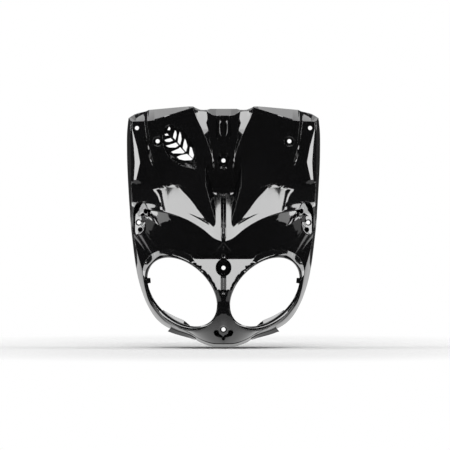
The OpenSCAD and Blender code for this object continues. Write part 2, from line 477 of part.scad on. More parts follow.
// the hollow of a cup: its walls run straight on past the face
module cup_hollow(c) {
    cells = near_cells([abs(middle_of(c[2])[0]), middle_of(c[2])[1]], 75);
    d = [for (p = c[2]) face_at(p, cells)];
    out = [for (i = [0 : len(d) - 1]) let(w = (d[i] + 12 - c[1][i]) / max(2, d[i] - c[1][i])) mix(c[0][i], c[2][i], min(w, 3.2))];
    block(c[0], c[1], out, [for (i = [0 : len(d) - 1]) let(w = (d[i] + 12 - c[1][i]) / max(2, d[i] - c[1][i]))
        mix(c[1][i], d[i], min(w, 3.2))]);
}

// A strip laid along a line: each station has the four corners of its
// section, given in turn.
module strip(list) {
    n = len(list);
    polyhedron(points = [for (s = list) for (p = s) place(p)], faces = concat(
        [for (i = [0 : n - 2]) for (j = [0 : 3]) let(a = 4 * i + j, b = 4 * i + (j + 1) % 4)
            for (t = cell(a, b, b + 4, a + 4)) t],
        [[2, 1, 0], [3, 2, 0], [4 * n - 4, 4 * n - 3, 4 * n - 2], [4 * n - 4, 4 * n - 2, 4 * n - 1]]));
}
function other_side(list) = [for (i = [len(list) - 1 : -1 : 0]) [for (p = list[i]) [-p[0], p[1], p[2]]]];

// Lens seats on the rear of the lamp flange: [angle, reach into the opening]
seat_low = [[-88, 0.3], [-94, 2.2], [-100, 3.4], [-107, 4.6], [-114, 5.6], [-119, 6], [-123, 5.6]];
seat_tab = [[-31, 4.6], [-36, 5], [-41, 4.8]];
function seat(list) =
    [for (q = list) let(e = oval(q[0]), n = oval_out(q[0]), d = rim(q[0])[0] - 5 - flange_deep)
        let(a = e + n * 1.5, b = e - n * q[1])
        [[a[0], a[1], d], [b[0], b[1], d], [b[0], b[1], d + wall / fit_d], [a[0], a[1], d + wall / fit_d]]];

// Fixing tongues under the chin: [angle, how far they stand out]
tongue_line = [[-106, 5], [-112, 4.8], [-118, 4.4], [-125, 3.8], [-131, 3.2], [-137, 2.6], [-141, 2.2]];
tongue_long = 16;
function tongue(list, from, to, front) =
    [for (q = list) let(t = curve(q[0], low_table), n = out_of([[t[0], t[1]], [t[3], t[4]]]))
        let(a = [t[3], t[4]] + n * from, b = [t[3], t[4]] + n * (q[1] + to))
        [[a[0], a[1], t[5] - 1], [b[0], b[1], t[5] - 1], [b[0], b[1], t[5] + front], [a[0], a[1], t[5] + front]]];
strips = [seat(seat_low), seat(seat_tab),
    tongue(back_turned(tongue_line), -wall * 0.7, 0, wall), tongue_plate(back_turned(tongue_line))];
function tongue_plate(list) =
    [for (q = list) let(t = curve(q[0], low_table), n = out_of([[t[0], t[1]], [t[3], t[4]]]))
        let(a = [t[3], t[4]] + n * (q[1] - wall * 0.8), b = [t[3], t[4]] + n * q[1])
        [[a[0], a[1], t[5] - 1], [b[0], b[1], t[5] - 1], [b[0], b[1], t[5] + tongue_long],
            [a[0], a[1], t[5] + tongue_long]]];

// Vent slots: five chevrons, each a left arm and a rising arm with a thin
// rib left between them. Outlines run [x, height].
vent_arms = [
    [[-100.5, 362], [-96, 363.5], [-93.5, 360], [-98.5, 359.5]],
    [[-95.5, 369.5], [-93, 375], [-90.5, 372.5], [-91.5, 369]],
    [[-100.5, 352], [-96, 354], [-90, 355.5], [-86, 351.5], [-92, 349], [-98, 349.5]],
    [[-82.5, 369], [-85, 362], [-86, 357], [-82, 352.5], [-80, 360.5], [-80.5, 366.5]],
    [[-98, 342.5], [-92.5, 344], [-86, 346], [-81, 348], [-76.5, 343], [-81.5, 339.5], [-92.5, 339.5]],
    [[-74.5, 366.5], [-76.5, 358.5], [-78, 348.5], [-74, 344], [-71.5, 353.5], [-72.5, 362]],
    [[-89, 332], [-82.5, 335], [-76.5, 337.5], [-74, 340], [-66, 331.5], [-69, 329.5], [-86, 329.5]],
    [[-66, 354.5], [-68, 347], [-69.5, 338.5], [-64, 332], [-61.5, 341.5], [-64, 351]],
    [[-79.5, 323.5], [-72, 326.5], [-62, 328.5], [-52.5, 320], [-55, 318], [-67, 317.5], [-75.5, 319.5]],
    [[-57, 340.5], [-58, 333], [-58.5, 327], [-52, 321], [-50.5, 326.5], [-54, 339]]];
module vent_slots() {
    translate([0, -30 * fit_d, 0])
        rotate([90, 0, 0])
            linear_extrude(height = 55 * fit_d)
                scale([fit_x, fit_z])
                    for (a = vent_arms)
                        polygon(a);
}

// Screw holes run straight through, front to back.
module hole(x, z, from, to) {
    translate(place([x, z, from]))
        rotate([90, 0, 0])
            cylinder(h = (to - from) * fit_d, r = hole_r);
}
module holes() {
    for (side = [-1, 1]) {
        hole(side * wing_screw[0], wing_screw[1], wing_floor - 8, wing_floor + 6);
        hole(side * corner_hole[0], corner_hole[1], 30, 60);
        hole(side * lug_screw[0], lug_screw[1], lug_floor - 8, lug_floor + 12);
    }
    hole(0, middle_screw_z, middle_floor - 8, middle_floor + 6);
    hole(0, nose_screw_z, nose_floor - 8, nose_floor + 12);
    hole(0, chin_screw_z, nose_floor - 8, nose_floor + 30);
}

module face_shell() {
    all = [for (t = whole(half_sheet)) if (flat_area(t) > 1e-6) t];
    polyhedron(points = [for (t = all) for (p = t) p],
        faces = [for (i = [0 : len(all) - 1]) [3 * i, 3 * i + 1, 3 * i + 2]]);
}

// The part's origin is the upper centre screw hole, half way through its floor.
origin_at = place([0, middle_screw_z, middle_floor - wall / fit_d / 2]);

module headlight_mask() {
    color([0.02, 0.02, 0.022])
        translate(-origin_at)
        difference() {
            union() {
                face_shell();
                for (c = cups)
                    cup_body(c);
                for (s = strips) {
                    strip(s);
                    strip(other_side(s));
                }
            }
            for (c = cups)
                cup_hollow(c);
            vent_slots();
            holes();
        }
}

headlight_mask();
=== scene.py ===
"""Motorcycle headlight mask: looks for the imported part, in the row's own frame."""

import math

import bpy
import numpy as np
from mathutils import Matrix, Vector
from mathutils.bvhtree import BVHTree


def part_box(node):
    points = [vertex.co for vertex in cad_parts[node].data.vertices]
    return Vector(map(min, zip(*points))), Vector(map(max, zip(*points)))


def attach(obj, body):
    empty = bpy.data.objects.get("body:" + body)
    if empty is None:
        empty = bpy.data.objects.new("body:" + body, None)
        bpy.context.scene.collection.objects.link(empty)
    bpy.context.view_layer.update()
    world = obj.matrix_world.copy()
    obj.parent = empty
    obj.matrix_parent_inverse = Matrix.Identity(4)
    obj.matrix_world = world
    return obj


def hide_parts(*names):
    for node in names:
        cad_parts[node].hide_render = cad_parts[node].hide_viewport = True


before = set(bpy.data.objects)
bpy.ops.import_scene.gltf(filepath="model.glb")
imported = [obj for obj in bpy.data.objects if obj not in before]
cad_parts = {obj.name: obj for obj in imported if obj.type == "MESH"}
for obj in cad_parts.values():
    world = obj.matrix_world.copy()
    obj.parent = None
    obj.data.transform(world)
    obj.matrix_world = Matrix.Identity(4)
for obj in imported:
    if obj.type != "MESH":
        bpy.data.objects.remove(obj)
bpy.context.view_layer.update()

# Sizes of the moulding in millimetres. u is the distance from the centre
# line, z the height above the chin and d the depth in front of the rear edge.
WALL = 2.5
RIB_HIGH, KEEL_HIGH, KEEL_HALF, FLANGE = 4.0, 7.2, 4.6, 9.0
LAMP_LONG, LAMP_SHORT, LAMP_TURN = 137.0, 91.0, math.radians(43.2)
HOLE_R, DISH_R, DISH_DEEP = 3.5, 9.0, 5.0
MIDDLE_Z, MIDDLE_FACE = 317.1, 66.5
MIDDLE_FLOOR = MIDDLE_FACE - DISH_DEEP

# Depth lost with each millimetre of height on the valley, the blades and the middle face.
VALLEY_TAN, BLADE_TAN, MIDDLE_TAN = (math.tan(math.radians(a)) for a in (37, 22, 20))

# Depth of the brow on the centre line, what it loses out to its half width, and how it bows.
BROW_PEAK, BROW_DROP, BROW_HALF, BROW_BOW = 128, 73, 160, 2.4

# The upper panel: its depth at one place (u, z), and what it loses upward and outward.
PANEL_D, PANEL_AT, PANEL_UP, PANEL_OUT = 64.5, (52, 320), 0.08, 0.02

# How far the bends between neighbouring faces are rounded, and where the middle face leans back.
BLADE_SOFT, MIDDLE_SOFT, MIDDLE_BEND = 8, 1.5, 326

# Heights over which the keel and the rib rise and fade.
KEEL_STARTS, KEEL_ENDS = (180, 190), (254, 262)
RIB_STARTS, RIB_ENDS, RIB_ARCH = (346, 364), (395, 403), (380, 392)
RIB_LEG_U, RIB_LEG_HALF = 8, 4.9


def mix(a, b, t):
    return a + (b - a) * t


def step_up(a, b, x):
    t = max(0.0, min(1.0, (x - a) / (b - a)))
    return t * t * (3 - 2 * t)


def soft_max(a, b, r):
    h = max(r - abs(a - b), 0) / r
    return max(a, b) + h * h * r / 4


def table(rows):
    """Keys and values from rows of [key, value or values]."""
    return [r[0] for r in rows], [np.array(r[1], float) for r in rows]


def span_of(x, keys):
    i = 0
    while i < len(keys) - 2 and x >= keys[i + 1]:
        i += 1
    return i


def tangent(t, i):
    k, v = t
    a, b = max(i - 1, 0), min(i + 1, len(k) - 1)
    return (v[b] - v[a]) / (k[b] - k[a])


def curve(x, t):
    """A smooth curve through the rows of a table."""
    k, v = t
    i = span_of(x, k)
    h = k[i + 1] - k[i]
    s = max(0.0, min(1.0, (x - k[i]) / h))
    q, c = s * s, s * s * s
    return (
        v[i] * (2 * c - 3 * q + 1)
        + tangent(t, i) * h * (c - 2 * q + s)
        + v[i + 1] * (3 * q - 2 * c)
        + tangent(t, i + 1) * h * (c - q)
    )


def line(x, t):
    """Straight stretches between the rows of a table."""
    k, v = t
    i = span_of(x, k)
    return mix(v[i], v[i + 1], max(0.0, min(1.0, (x - k[i]) / (k[i + 1] - k[i]))))


# The named lines of the face.
BROW = table([
    [0, 179], [16, 185.3], [35, 200.6], [57, 214.2], [79, 223.5], [100, 229.5], [130, 234],
    [160, 237]])
BLADE = table([
    [15, 205.5], [17.5, 206.8], [23, 210], [40, 229.5], [57, 251.6], [81, 277], [160, 277]])
SIDE_U = 157
SIDE = table([
    [180, [151, 67]], [195, [154, 63]], [215, [156, 60]], [237, [156.4, 57]],
    [262, [157, 52]], [300, [157.5, 46]], [343, [158, 41]], [384, [158, 38]]])
REAR = table([
    [195, [158, 3]], [237, [161.3, 0]], [263, [163, 0]], [304, [165.2, 0]],
    [330, [166, 0]], [365, [166, 1]], [386, [164, 4]]])
TOP = table([
    [0, 393], [19, 394], [28, 401], [46, 402.5], [52, 407], [57, 405.5], [91, 394.5],
    [121, 385.5], [158, 384]])
TOP_EDGE = table([
    [0, [0, 406.3, 28]], [23, [23, 406.3, 28]], [30, [30, 404, 32]], [42, [42, 404.6, 42]],
    [52, [52, 409.7, 50]], [62, [62, 409.7, 49]], [91, [91, 407.4, 39]], [128, [128, 404.6, 24]],
    [133, [133, 402.2, 22]], [150, [151, 398.4, 14]], [158, [163, 391, 12]]])


def brow_z(u):
    return float(curve(u, BROW))


def brow_d(u):
    return BROW_PEAK - BROW_DROP * pow(max(u, 0) / BROW_HALF, BROW_BOW)


def blade_z(u):
    return float(line(u, BLADE))


def slope_d(u, z):
    return brow_d(u) - VALLEY_TAN * (z - brow_z(u))


def blade_d(u, z):
    return slope_d(u, blade_z(u)) - BLADE_TAN * (z - blade_z(u))


def upper_d(u, z):
    return PANEL_D - PANEL_UP * (z - PANEL_AT[1]) - PANEL_OUT * (u - PANEL_AT[0])


def wing_d(u, z):
    panel = soft_max(blade_d(u, z), upper_d(u, z), BLADE_SOFT)
    return max(panel, slope_d(u, z))


def keel_d(u, z):
    ends = step_up(*KEEL_STARTS, z) * (1 - step_up(*KEEL_ENDS, z))
    return KEEL_HIGH * max(0, 1 - u / KEEL_HALF) * ends


def rib_d(u, z):
    """The rib at the top: two legs that join in an arch."""
    ends = step_up(*RIB_STARTS, z) * (1 - step_up(*RIB_ENDS, z))
    leg = max(0, 1 - ((u - RIB_LEG_U) / RIB_LEG_HALF) ** 2)
    between = 1 if u < RIB_LEG_U else leg
    return RIB_HIGH * ends * max(leg, between * step_up(*RIB_ARCH, z))


def middle_d(u, z):
    face = MIDDLE_FACE - MIDDLE_TAN * max(0, z - MIDDLE_BEND)
    return soft_max(slope_d(u, z), face, MIDDLE_SOFT) + keel_d(u, z) + rib_d(u, z)


def flank_d(u, ridge_u, ridge_depth, edge):
    """Depth outside the ridge near the brow, where the flank keeps the brow's bow."""
    s = max(0.0, min(1.0, (u - ridge_u) / (edge[0] - ridge_u)))
    a, b = ridge_depth - brow_d(ridge_u), edge[1] - brow_d(edge[0])
    return mix(a, b, s) + brow_d(u)


# The long facet on the side: its inner and outer edge by height, as [z, u].
FACET_IN = table([[272, 153], [284, 149], [314, 142], [340, 147], [372, 156]])
FACET_OUT = table([[272, 153], [284, 153.8], [314, 155], [372, 156.4]])
FACET_FALL, CREASE_FALL = 0.95, 1.35
FACET_SHARES, FACET_STARTS, FACET_ROW_U = (0, 0.4, 0.8, 1), (270, 284), 150
SIDE_STARTS = (274, 286)


def side_fall(u, lu, ld, e, z):
    """Depth on the side above the brow: a gentle face, the long facet, then the turn to the wall."""
    a, b = float(line(z, FACET_IN)), float(line(z, FACET_OUT))
    d_b = e[1] + CREASE_FALL * (e[0] - b)
    d_a = d_b + FACET_FALL * (b - a)
    if u >= b:
        return e[1] + CREASE_FALL * (e[0] - u)
    if u >= a:
        return d_b + FACET_FALL * (b - u)
    return mix(ld, d_a, (u - lu) / (a - lu))


# Rows of the upper sheet, from the brow to the top, as [u, z].
ROWS = [BROW] + [table(t) for t in (
    [[0, 197], [15, 205.5], [17.5, 206.8], [57, 226], [100, 239], [160, 247]],
    [[0, 215], [16, 221], [40, 229.5], [57, 237.5], [100, 249], [160, 257]],
    [[0, 237], [25, 243], [57, 251.6], [81, 257], [104, 261], [160, 268]],
    [[0, 260], [17, 263.5], [34, 269], [81, 277], [110, 277], [160, 282]],
    [[0, 297], [31, 302], [160, 304]],
    [[0, 326], [160, 327]],
    [[0, 350], [160, 350]],
    [[0, 373], [160, 370]])] + [TOP]

# Rails of the upper sheet, from the centre line outward: u at each row, and how much of the
# depth there is the blade's and not the middle's.
RAILS = [
    [[0] * 10, [0] * 10],
    [[4.6, 4.6, 4.6, 4.6, 4.6, 4.5, 4.3, 4.3, 4.3, 4.3], [0] * 10],
    [[6.4, 6.4, 6.8, 7.2, 8, 10.5, 11.5, 12.7, 12.7, 12.7], [0] * 10],
    [[9, 9, 9.4, 10.2, 12, 15, 17.6, 23, 24.8, 28.1], [0] * 10],
    [[11.6, 11.2, 11.4, 12.4, 14.6, 19, 20, 28.2, 37.4, 51.9], [0, 0, 0, 0, 0, 0, 1, 1, 1, 1]],
    [[14, 13.2, 13, 14.2, 17, 28, 34, 40, 48, 60], [0, 0, 0, 0, 0, 0, 1, 1, 1, 1]],
    [[17, 15.3, 20, 25.2, 32.5, 43.5, 48, 54, 62, 72], [0, 0, 1, 1, 1, 1, 1, 1, 1, 1]],
    [[21, 17.5, 40, 57, 80.8, 84, 84, 86, 90, 96], [1] * 10],
    [[62, 64, 74, 84, 96, 100, 104, 106, 108, 112], [1] * 10],
    [[99.5, 102, 104, 106, 110.5, 116, 122.2, 126, 128.4, 130], [1] * 10],
    [[102, 104.5, 106.5, 109, 113.5, 120, 128, 130.6, 133, 135], [1] * 10],
    [[130, 131, 132, 134, 136, 139, 143, 145, 146, 147], [1] * 10]]
STRIP_IN, STRIP_FOLD, STRIP_OUT, WALL_FOOT, WALL_CREST, CREASE, RIDGE, LEDGE = 2, 3, 4, 5, 6, 7, 9, 10
CREASE_ROWS, STRIP_ROW, FLANK_ROWS = (1, 4), 5, (0, 1.5)

# How far the face steps down from the ridge to the ledge at each row, and its fall between them.
LEDGE_STEP = [0, 0, 0, 0, 0, 0, 5.2, 4.2, 4.2, 4.5]
LEDGE_FALL = 0.35

# Into how many parts each stretch between rows and between rails is cut.
ROW_CUTS = [6, 5, 5, 6, 7, 6, 6, 6, 7]
RAIL_CUTS = [3, 3, 3, 4, 4, 4, 6, 8, 8, 3, 6, 5]


def cuts(counts):
    return [i + j / n for i, n in enumerate(counts) for j in range(n)] + [len(counts)]


ROW_AT, RAIL_AT = cuts(ROW_CUTS), cuts(RAIL_CUTS)
row_n, rail_n = len(ROW_AT) - 1, len(RAIL_AT) - 1


def key_of(keys, v):
    i = min(int(v), len(keys) - 2)
    return mix(keys[i], keys[i + 1], v - i)


def row_z(v, u):
    i = min(int(v), len(ROWS) - 2)
    return float(mix(curve(u, ROWS[i]), curve(u, ROWS[i + 1]), v - i))


def edge_of(v):
    e = curve(row_z(v, SIDE_U), SIDE)
    return [float(e[0]), float(e[1]), row_z(v, float(e[0]))]


CREASE_SEARCH, HALVINGS = (15.0, 90.0), 30


def crease_u(v):
    """Where a row meets the lower edge of the blade, found by halving."""
    a, b = CREASE_SEARCH
    for _ in range(HALVINGS):
        m = (a + b) / 2
        if row_z(v, m) > blade_z(m):
            a = m
        else:
            b = m
    return (a + b) / 2


def rail_key(i, v):
    if i == len(RAILS):
        return edge_of(v)[0]
    if i == CREASE and CREASE_ROWS[0] <= v <= CREASE_ROWS[1]:
        return crease_u(v)
    return key_of(RAILS[i][0], v)


# Falls of the blade's inner wall, of its crest and of the strips beside the rib.
WALL_FALL, CREST_FALL, STRIP_FALL = 1.8, 0.4, 0.93

# Least widths kept for the wall and for the crest.
WALL_LEAST, CREST_LEAST = 0.3, 0.5


def wall_top(v):
    """The inner wall of a blade: where its steep part ends, and the depths at foot, end and crest."""
    a, b = rail_key(WALL_FOOT, v), rail_key(WALL_CREST, v)
    za, zb = row_z(v, a), row_z(v, b)
    da = mix(middle_d(a, za), wing_d(a, za), key_of(RAILS[WALL_FOOT][1], v))
    db = mix(middle_d(b, zb), wing_d(b, zb), key_of(RAILS[WALL_CREST][1], v))
    high = (db - da - CREST_FALL * (b - a)) / (1 - CREST_FALL / WALL_FALL)
    high = max(0.0, min(high, db - da))
    return a + high / WALL_FALL, da, da + high, db


def wall_u(c, v):
    """Rails between the foot and the crest of the inner wall: half of them on its steep part."""
    a, b = rail_key(WALL_FOOT, v), rail_key(WALL_CREST, v)
    m = min(max(wall_top(v)[0], a + WALL_LEAST), b - CREST_LEAST)
    f = 2 * (c - WALL_FOOT)
    return mix(a, m, f) if f < 1 else mix(m, b, f - 1)


def facet_u(c, v):
    """Rails on the side: two cuts to the long facet, two on it and one outside it."""
    i = len(RAILS) - 1
    z = row_z(v, FACET_ROW_U)
    ends = rail_key(i, v), rail_key(i + 1, v)
    marks = (ends[0], float(line(z, FACET_IN)), float(line(z, FACET_OUT)), ends[1])
    share = step_up(*FACET_STARTS, z)
    marks = [mix(mix(*ends, q), m, share) for q, m in zip(FACET_SHARES, marks)]
    f = (c - i) * 5
    if f < 2:
        return mix(marks[0], marks[1], f / 2)
    if f < 4:
        return mix(marks[1], marks[2], (f - 2) / 2)
    return mix(marks[2], marks[3], f - 4)


def rail_u(c, v):
    i = min(int(c), len(RAILS) - 1)
    if i == WALL_FOOT and v >= 1:
        return wall_u(c, v)
    if i == len(RAILS) - 1:
        return facet_u(c, v)
    return mix(rail_key(i, v), rail_key(i + 1, v), c - i)


def blade_share(c, v):
    i = min(int(c), len(RAILS) - 1)
    outer_share = 1 if i == len(RAILS) - 1 else key_of(RAILS[i + 1][1], v)
    return mix(key_of(RAILS[i][1], v), outer_share, c - i)


def wall_depth(v, u):
    m, da, dm, db = wall_top(v)
    a, b = rail_key(WALL_FOOT, v), rail_key(WALL_CREST, v)
    if u < m:
        return mix(da, dm, (u - a) / max(m - a, WALL_LEAST))
    return mix(dm, db, (u - m) / max(b - m, CREST_LEAST))


def strip_depth(v, u):
    """The strips beside the rib: a fold between the middle face and the blade."""
    a, m, b = (rail_key(i, v) for i in (STRIP_IN, STRIP_FOLD, STRIP_OUT))
    da, db = middle_d(a, row_z(v, a)), wing_d(b, row_z(v, b))
    dm = mix(middle_d(m, row_z(v, m)), db - STRIP_FALL * (b - m), step_up(STRIP_ROW, STRIP_ROW + 1, v))
    if u < m:
        return mix(da, dm, (u - a) / (m - a))
    return mix(dm, db, (u - m) / (b - m))


def upper_depth(c, v, u, z):
    if WALL_FOOT < c < WALL_CREST and v >= 1:
        return wall_depth(v, u)
    if STRIP_IN < c < STRIP_OUT and v > STRIP_ROW:
        return strip_depth(v, u)
    if c < RIDGE + 0.001:
        return mix(middle_d(u, z), wing_d(u, z), blade_share(c, v))
    ru = key_of(RAILS[RIDGE][0], v)
    rd = wing_d(ru, row_z(v, ru))
    lu = key_of(RAILS[LEDGE][0], v)
    ld = rd - key_of(LEDGE_STEP, v) - LEDGE_FALL * (lu - ru)
    e = edge_of(v)
    if c < LEDGE:
        return mix(rd, flank_d(lu, lu, ld, e), c - RIDGE)
    plain = mix(ld, e[1], (u - lu) / (e[0] - lu))
    low = mix(flank_d(u, lu, ld, e), plain, step_up(*FLANK_ROWS, v))
    return mix(low, side_fall(u, lu, ld, e, z), step_up(*SIDE_STARTS, z))


def upper_node(c, v):
    e = edge_of(v)
    u = e[0] if c >= len(RAILS) else rail_u(c, v)
    z = row_z(v, u)
    if v == 0:
        return [u, z, brow_d(u)]
    if c >= len(RAILS):
        return [u, z, e[1]]
    return [u, z, upper_depth(c, v, u, z)]


upper = np.array([[upper_node(c, v) for c in RAIL_AT] for v in ROW_AT])

# The lamp opening and the stations that run out from it.
LAMP_MIDDLE = np.array([69.9, 94.7])
LONG_WAY = np.array([math.cos(LAMP_TURN), math.sin(LAMP_TURN)])
SHORT_WAY = np.array([-math.sin(LAMP_TURN), math.cos(LAMP_TURN)])


def oval(f):
    f = math.radians(f)
    return LAMP_MIDDLE + LONG_WAY * LAMP_LONG / 2 * math.cos(f) + SHORT_WAY * LAMP_SHORT / 2 * math.sin(f)


def oval_out(f):
    f = math.radians(f)
    n = LONG_WAY * math.cos(f) / LAMP_LONG + SHORT_WAY * math.sin(f) / LAMP_SHORT
    return n / np.linalg.norm(n)


# The rim round the lamp by its turn from the long axis: depth of the rim, how far out it lies,
# width of the band round it and depth at the band's foot.
RIM = table([
    [-210, [159, 1.2, 4, 162.5]], [-195, [160.5, 1.6, 3.2, 162]], [-180, [160, 2.5, 2, 159.5]],
    [-165, [157, 4.5, 2, 156]], [-150, [152, 6, 2, 150.5]], [-130, [144.5, 7, 2, 142.5]],
    [-115, [136, 7.4, 1.8, 133.5]], [-98, [126, 7, 1.6, 123]], [-86, [118, 6.8, 1.4, 116]],
    [-70, [109, 6, 1.3, 107]], [-53, [102, 4, 1.3, 101]], [-37, [98, 3.5, 1.4, 97]],
    [-19, [96.5, 2.5, 7.5, 90.5]], [-10, [97, 1.8, 9.5, 87]], [0, [98, 1.5, 11.5, 84.5]],
    [10, [100.5, 1.3, 12.5, 89]], [25, [106, 1.2, 13, 97]], [46, [120, 1.2, 13, 110.5]],
    [63, [128.5, 1.3, 13, 118]], [76, [134, 1.6, 13, 123]], [88, [139, 1.8, 20, 126.5]],
    [94, [142, 1.8, 7, 141]], [104, [147, 1.6, 5.5, 148.5]], [120, [153.5, 1.5, 5, 160]],
    [142, [158, 1.2, 4.5, 162]], [150, [159, 1.2, 4, 162.5]], [165, [160.5, 1.6, 3.2, 162]]])
# The lower outline by turn: crease u, z, d, then rear edge u, z, d.
LOW = table([
    [23, [156.4, 237, 57, 161.3, 237, 0]], [14, [156, 212, 60.5, 160, 212, 1]],
    [5.7, [151.3, 181.9, 67, 156.6, 182, 5]], [-6, [145.4, 156.4, 78, 153.2, 155, 10]],
    [-19.5, [138.8, 134.3, 89, 149.4, 131, 16]], [-37.3, [135.4, 113.9, 96.5, 145.2, 112, 22]],
    [-52.9, [132, 96.9, 100.5, 140, 95, 29]], [-70.2, [125, 76.5, 105.5, 131.6, 74, 38]],
    [-86.6, [111.8, 57.8, 113, 118.5, 52, 46]], [-98, [99.8, 45.7, 118, 104.6, 38.5, 52]],
    [-116, [78, 33.5, 122, 83.5, 27.5, 60]], [-130.8, [56.5, 25, 108, 58.5, 19, 66]],
    [-143.5, [37.5, 13.5, 100, 39.5, 7.8, 69]], [-155.7, [19, 7, 95.5, 19.7, 0.8, 71]],
    [-167.2, [0, 6, 94.5, 0, 0, 72]]][::-1])
# The centre line under the brow by turn: u, z, d.
CENTRE = table([
    [-167.2, [0, 6, 94.5]], [-180, [0, 28, 131]], [-195, [0, 49.3, 163.5]], [-218, [0, 76, 165]],
    [-236, [0, 98, 165]], [-240, [0, 102, 162.5]], [-248, [0, 115, 152.5]], [-256, [0, 128, 142.5]],
    [-262, [0, 145, 129.8]], [-266, [0, 155, 122.5]], [-272.3, [0, 179, 128]]][::-1])
# Turn at which a point of the brow is reached, by u.
BROW_TURN = table([[0, 87.7], [57, 63.4], [100, 45.7], [156.4, 23]])
# The scoop under the brow by u: how far down it starts and how deep it is.
SCOOP = table([
    [0, [4, 0]], [77, [6, 0]], [85, [9, 2]], [117, [27, 9]], [130, [20, 12]], [146, [14, 7]],
    [151, [10, 0]], [156.4, [10, 0]]])
# How the band round the rim bulges along its width.
BAND = table([[0, 0.0], [0.16, 0.9], [0.58, 0.6], [1, 0.0]])


TURN_LAST, TURN_FIRST = 165, -210


def rim(f):
    if f > TURN_LAST:
        f -= 360
    elif f < TURN_FIRST:
        f += 360
    return curve(f, RIM)


# The nose between the lamps: a long slope that meets the upright face under the brow.
NOSE_EDGE, NOSE_RISE, NOSE_TOP = (128, 142.5), 0.76, 150
NOSE_FRONT, NOSE_FACE, NOSE_FACE_RISE = 165, 125.8, 0.07
GROOVE_HALF, GROOVE_DEEP = 4.8, 7.0
GROOVE_STARTS, GROOVE_ENDS = (90, 98), (150, 158)

# Where a station is drawn onto the nose: by u, by height and by turn.
NOSE_SIDE, NOSE_STARTS, NOSE_ENDS, NOSE_TURNS = (44, 56), (88, 99), (158, 166), (58, 70)

# The band round the lamp lies below the nose: [depth, width] of its slope and of its fine edge.
NOSE_BAND, NOSE_FINE = (4.5, 6.5), (1.2, 1.5)


def nose_d(z):
    slope = NOSE_EDGE[1] - NOSE_RISE * (z - NOSE_EDGE[0])
    return min(NOSE_FRONT, max(slope, NOSE_FACE + NOSE_FACE_RISE * (z - NOSE_TOP)))


def groove_d(u, z):
    ends = step_up(*GROOVE_STARTS, z), 1 - step_up(*GROOVE_ENDS, z)
    return GROOVE_DEEP * max(0, 1 - u / GROOVE_HALF) * ends[0] * ends[1]


def on_nose(n, e, f):
    """A node drawn onto the nose, with the band round the lamp kept below it."""
    u, z, d = n
    w = (1 - step_up(*NOSE_SIDE, u)) * step_up(*NOSE_STARTS, z) * (1 - step_up(*NOSE_ENDS, z))
    w = w * step_up(*NOSE_TURNS, f)
    x = np.linalg.norm(n[:2] - e)
    goal = nose_d(z)
    for deep, wide in (NOSE_BAND, NOSE_FINE):
        goal = goal - deep * max(0, 1 - x / wide)
    return np.array([u, z, mix(d, goal, w) - groove_d(u, z)])


def p3(q, d):
    return np.array([q[0], q[1], d])


# The rim's lip: how far behind the rim the flange starts, how its round bulges, and the shares
# of the way at which it and the band get nodes.
LIP_BACK, LIP_BULGE, LIP_AT = 5, 0.9, (0.33, 0.67)
BAND_AT = (0.07, 0.16, 0.3, 0.45, 0.6, 0.8, 1)
BROW_AT, SCOOP_STEP, SCOOP_LIFT = (0.2, 0.4, 0.6, 0.8), 1.5, 0.4
LOW_AT = (0.2, 0.4, 0.6, 0.75, 0.88, 0.94, 0.98)
NOSE_AT, GROOVE_AT = (0.2, 0.45, 0.7, 0.9, 1), (0.35, 0.7, 1)

# Most of a station's reach that the rim and its band may take, and where the nose begins.
RIM_MOST, BAND_MOST, NOSE_MOST, GROOVE_MOST = 0.62, 0.84, 0.8, 0.9
NOSE_CLEAR, NOSE_TURN, MIDDLE_TURN = 7, 58, -175
NOSE_GROWS, NOSE_FADES, NOSE_STEEP = (64, 80), (125, 145), 0.2

# Widths of the band between which its foot turns from the rim's own direction to the edge's.
BEND_WIDTHS = (8, 30)


def raised(p, by):
    return p + np.array([0, 0, by])


def nose_foot(ft, e, way, reach, brow, turn):
    """The foot of the band, drawn out to where the nose meets the upright face."""
    high = (NOSE_TOP - e[1]) / way[1] if way[1] > NOSE_STEEP else reach
    wide = reach * NOSE_MOST if brow else reach * (1 - NOSE_CLEAR / e[0])
    q = e + way * min(high, wide)
    share = step_up(*NOSE_GROWS, turn) * (1 - step_up(*NOSE_FADES, turn))
    return mix(ft, p3(q, nose_d(q[1])), share)


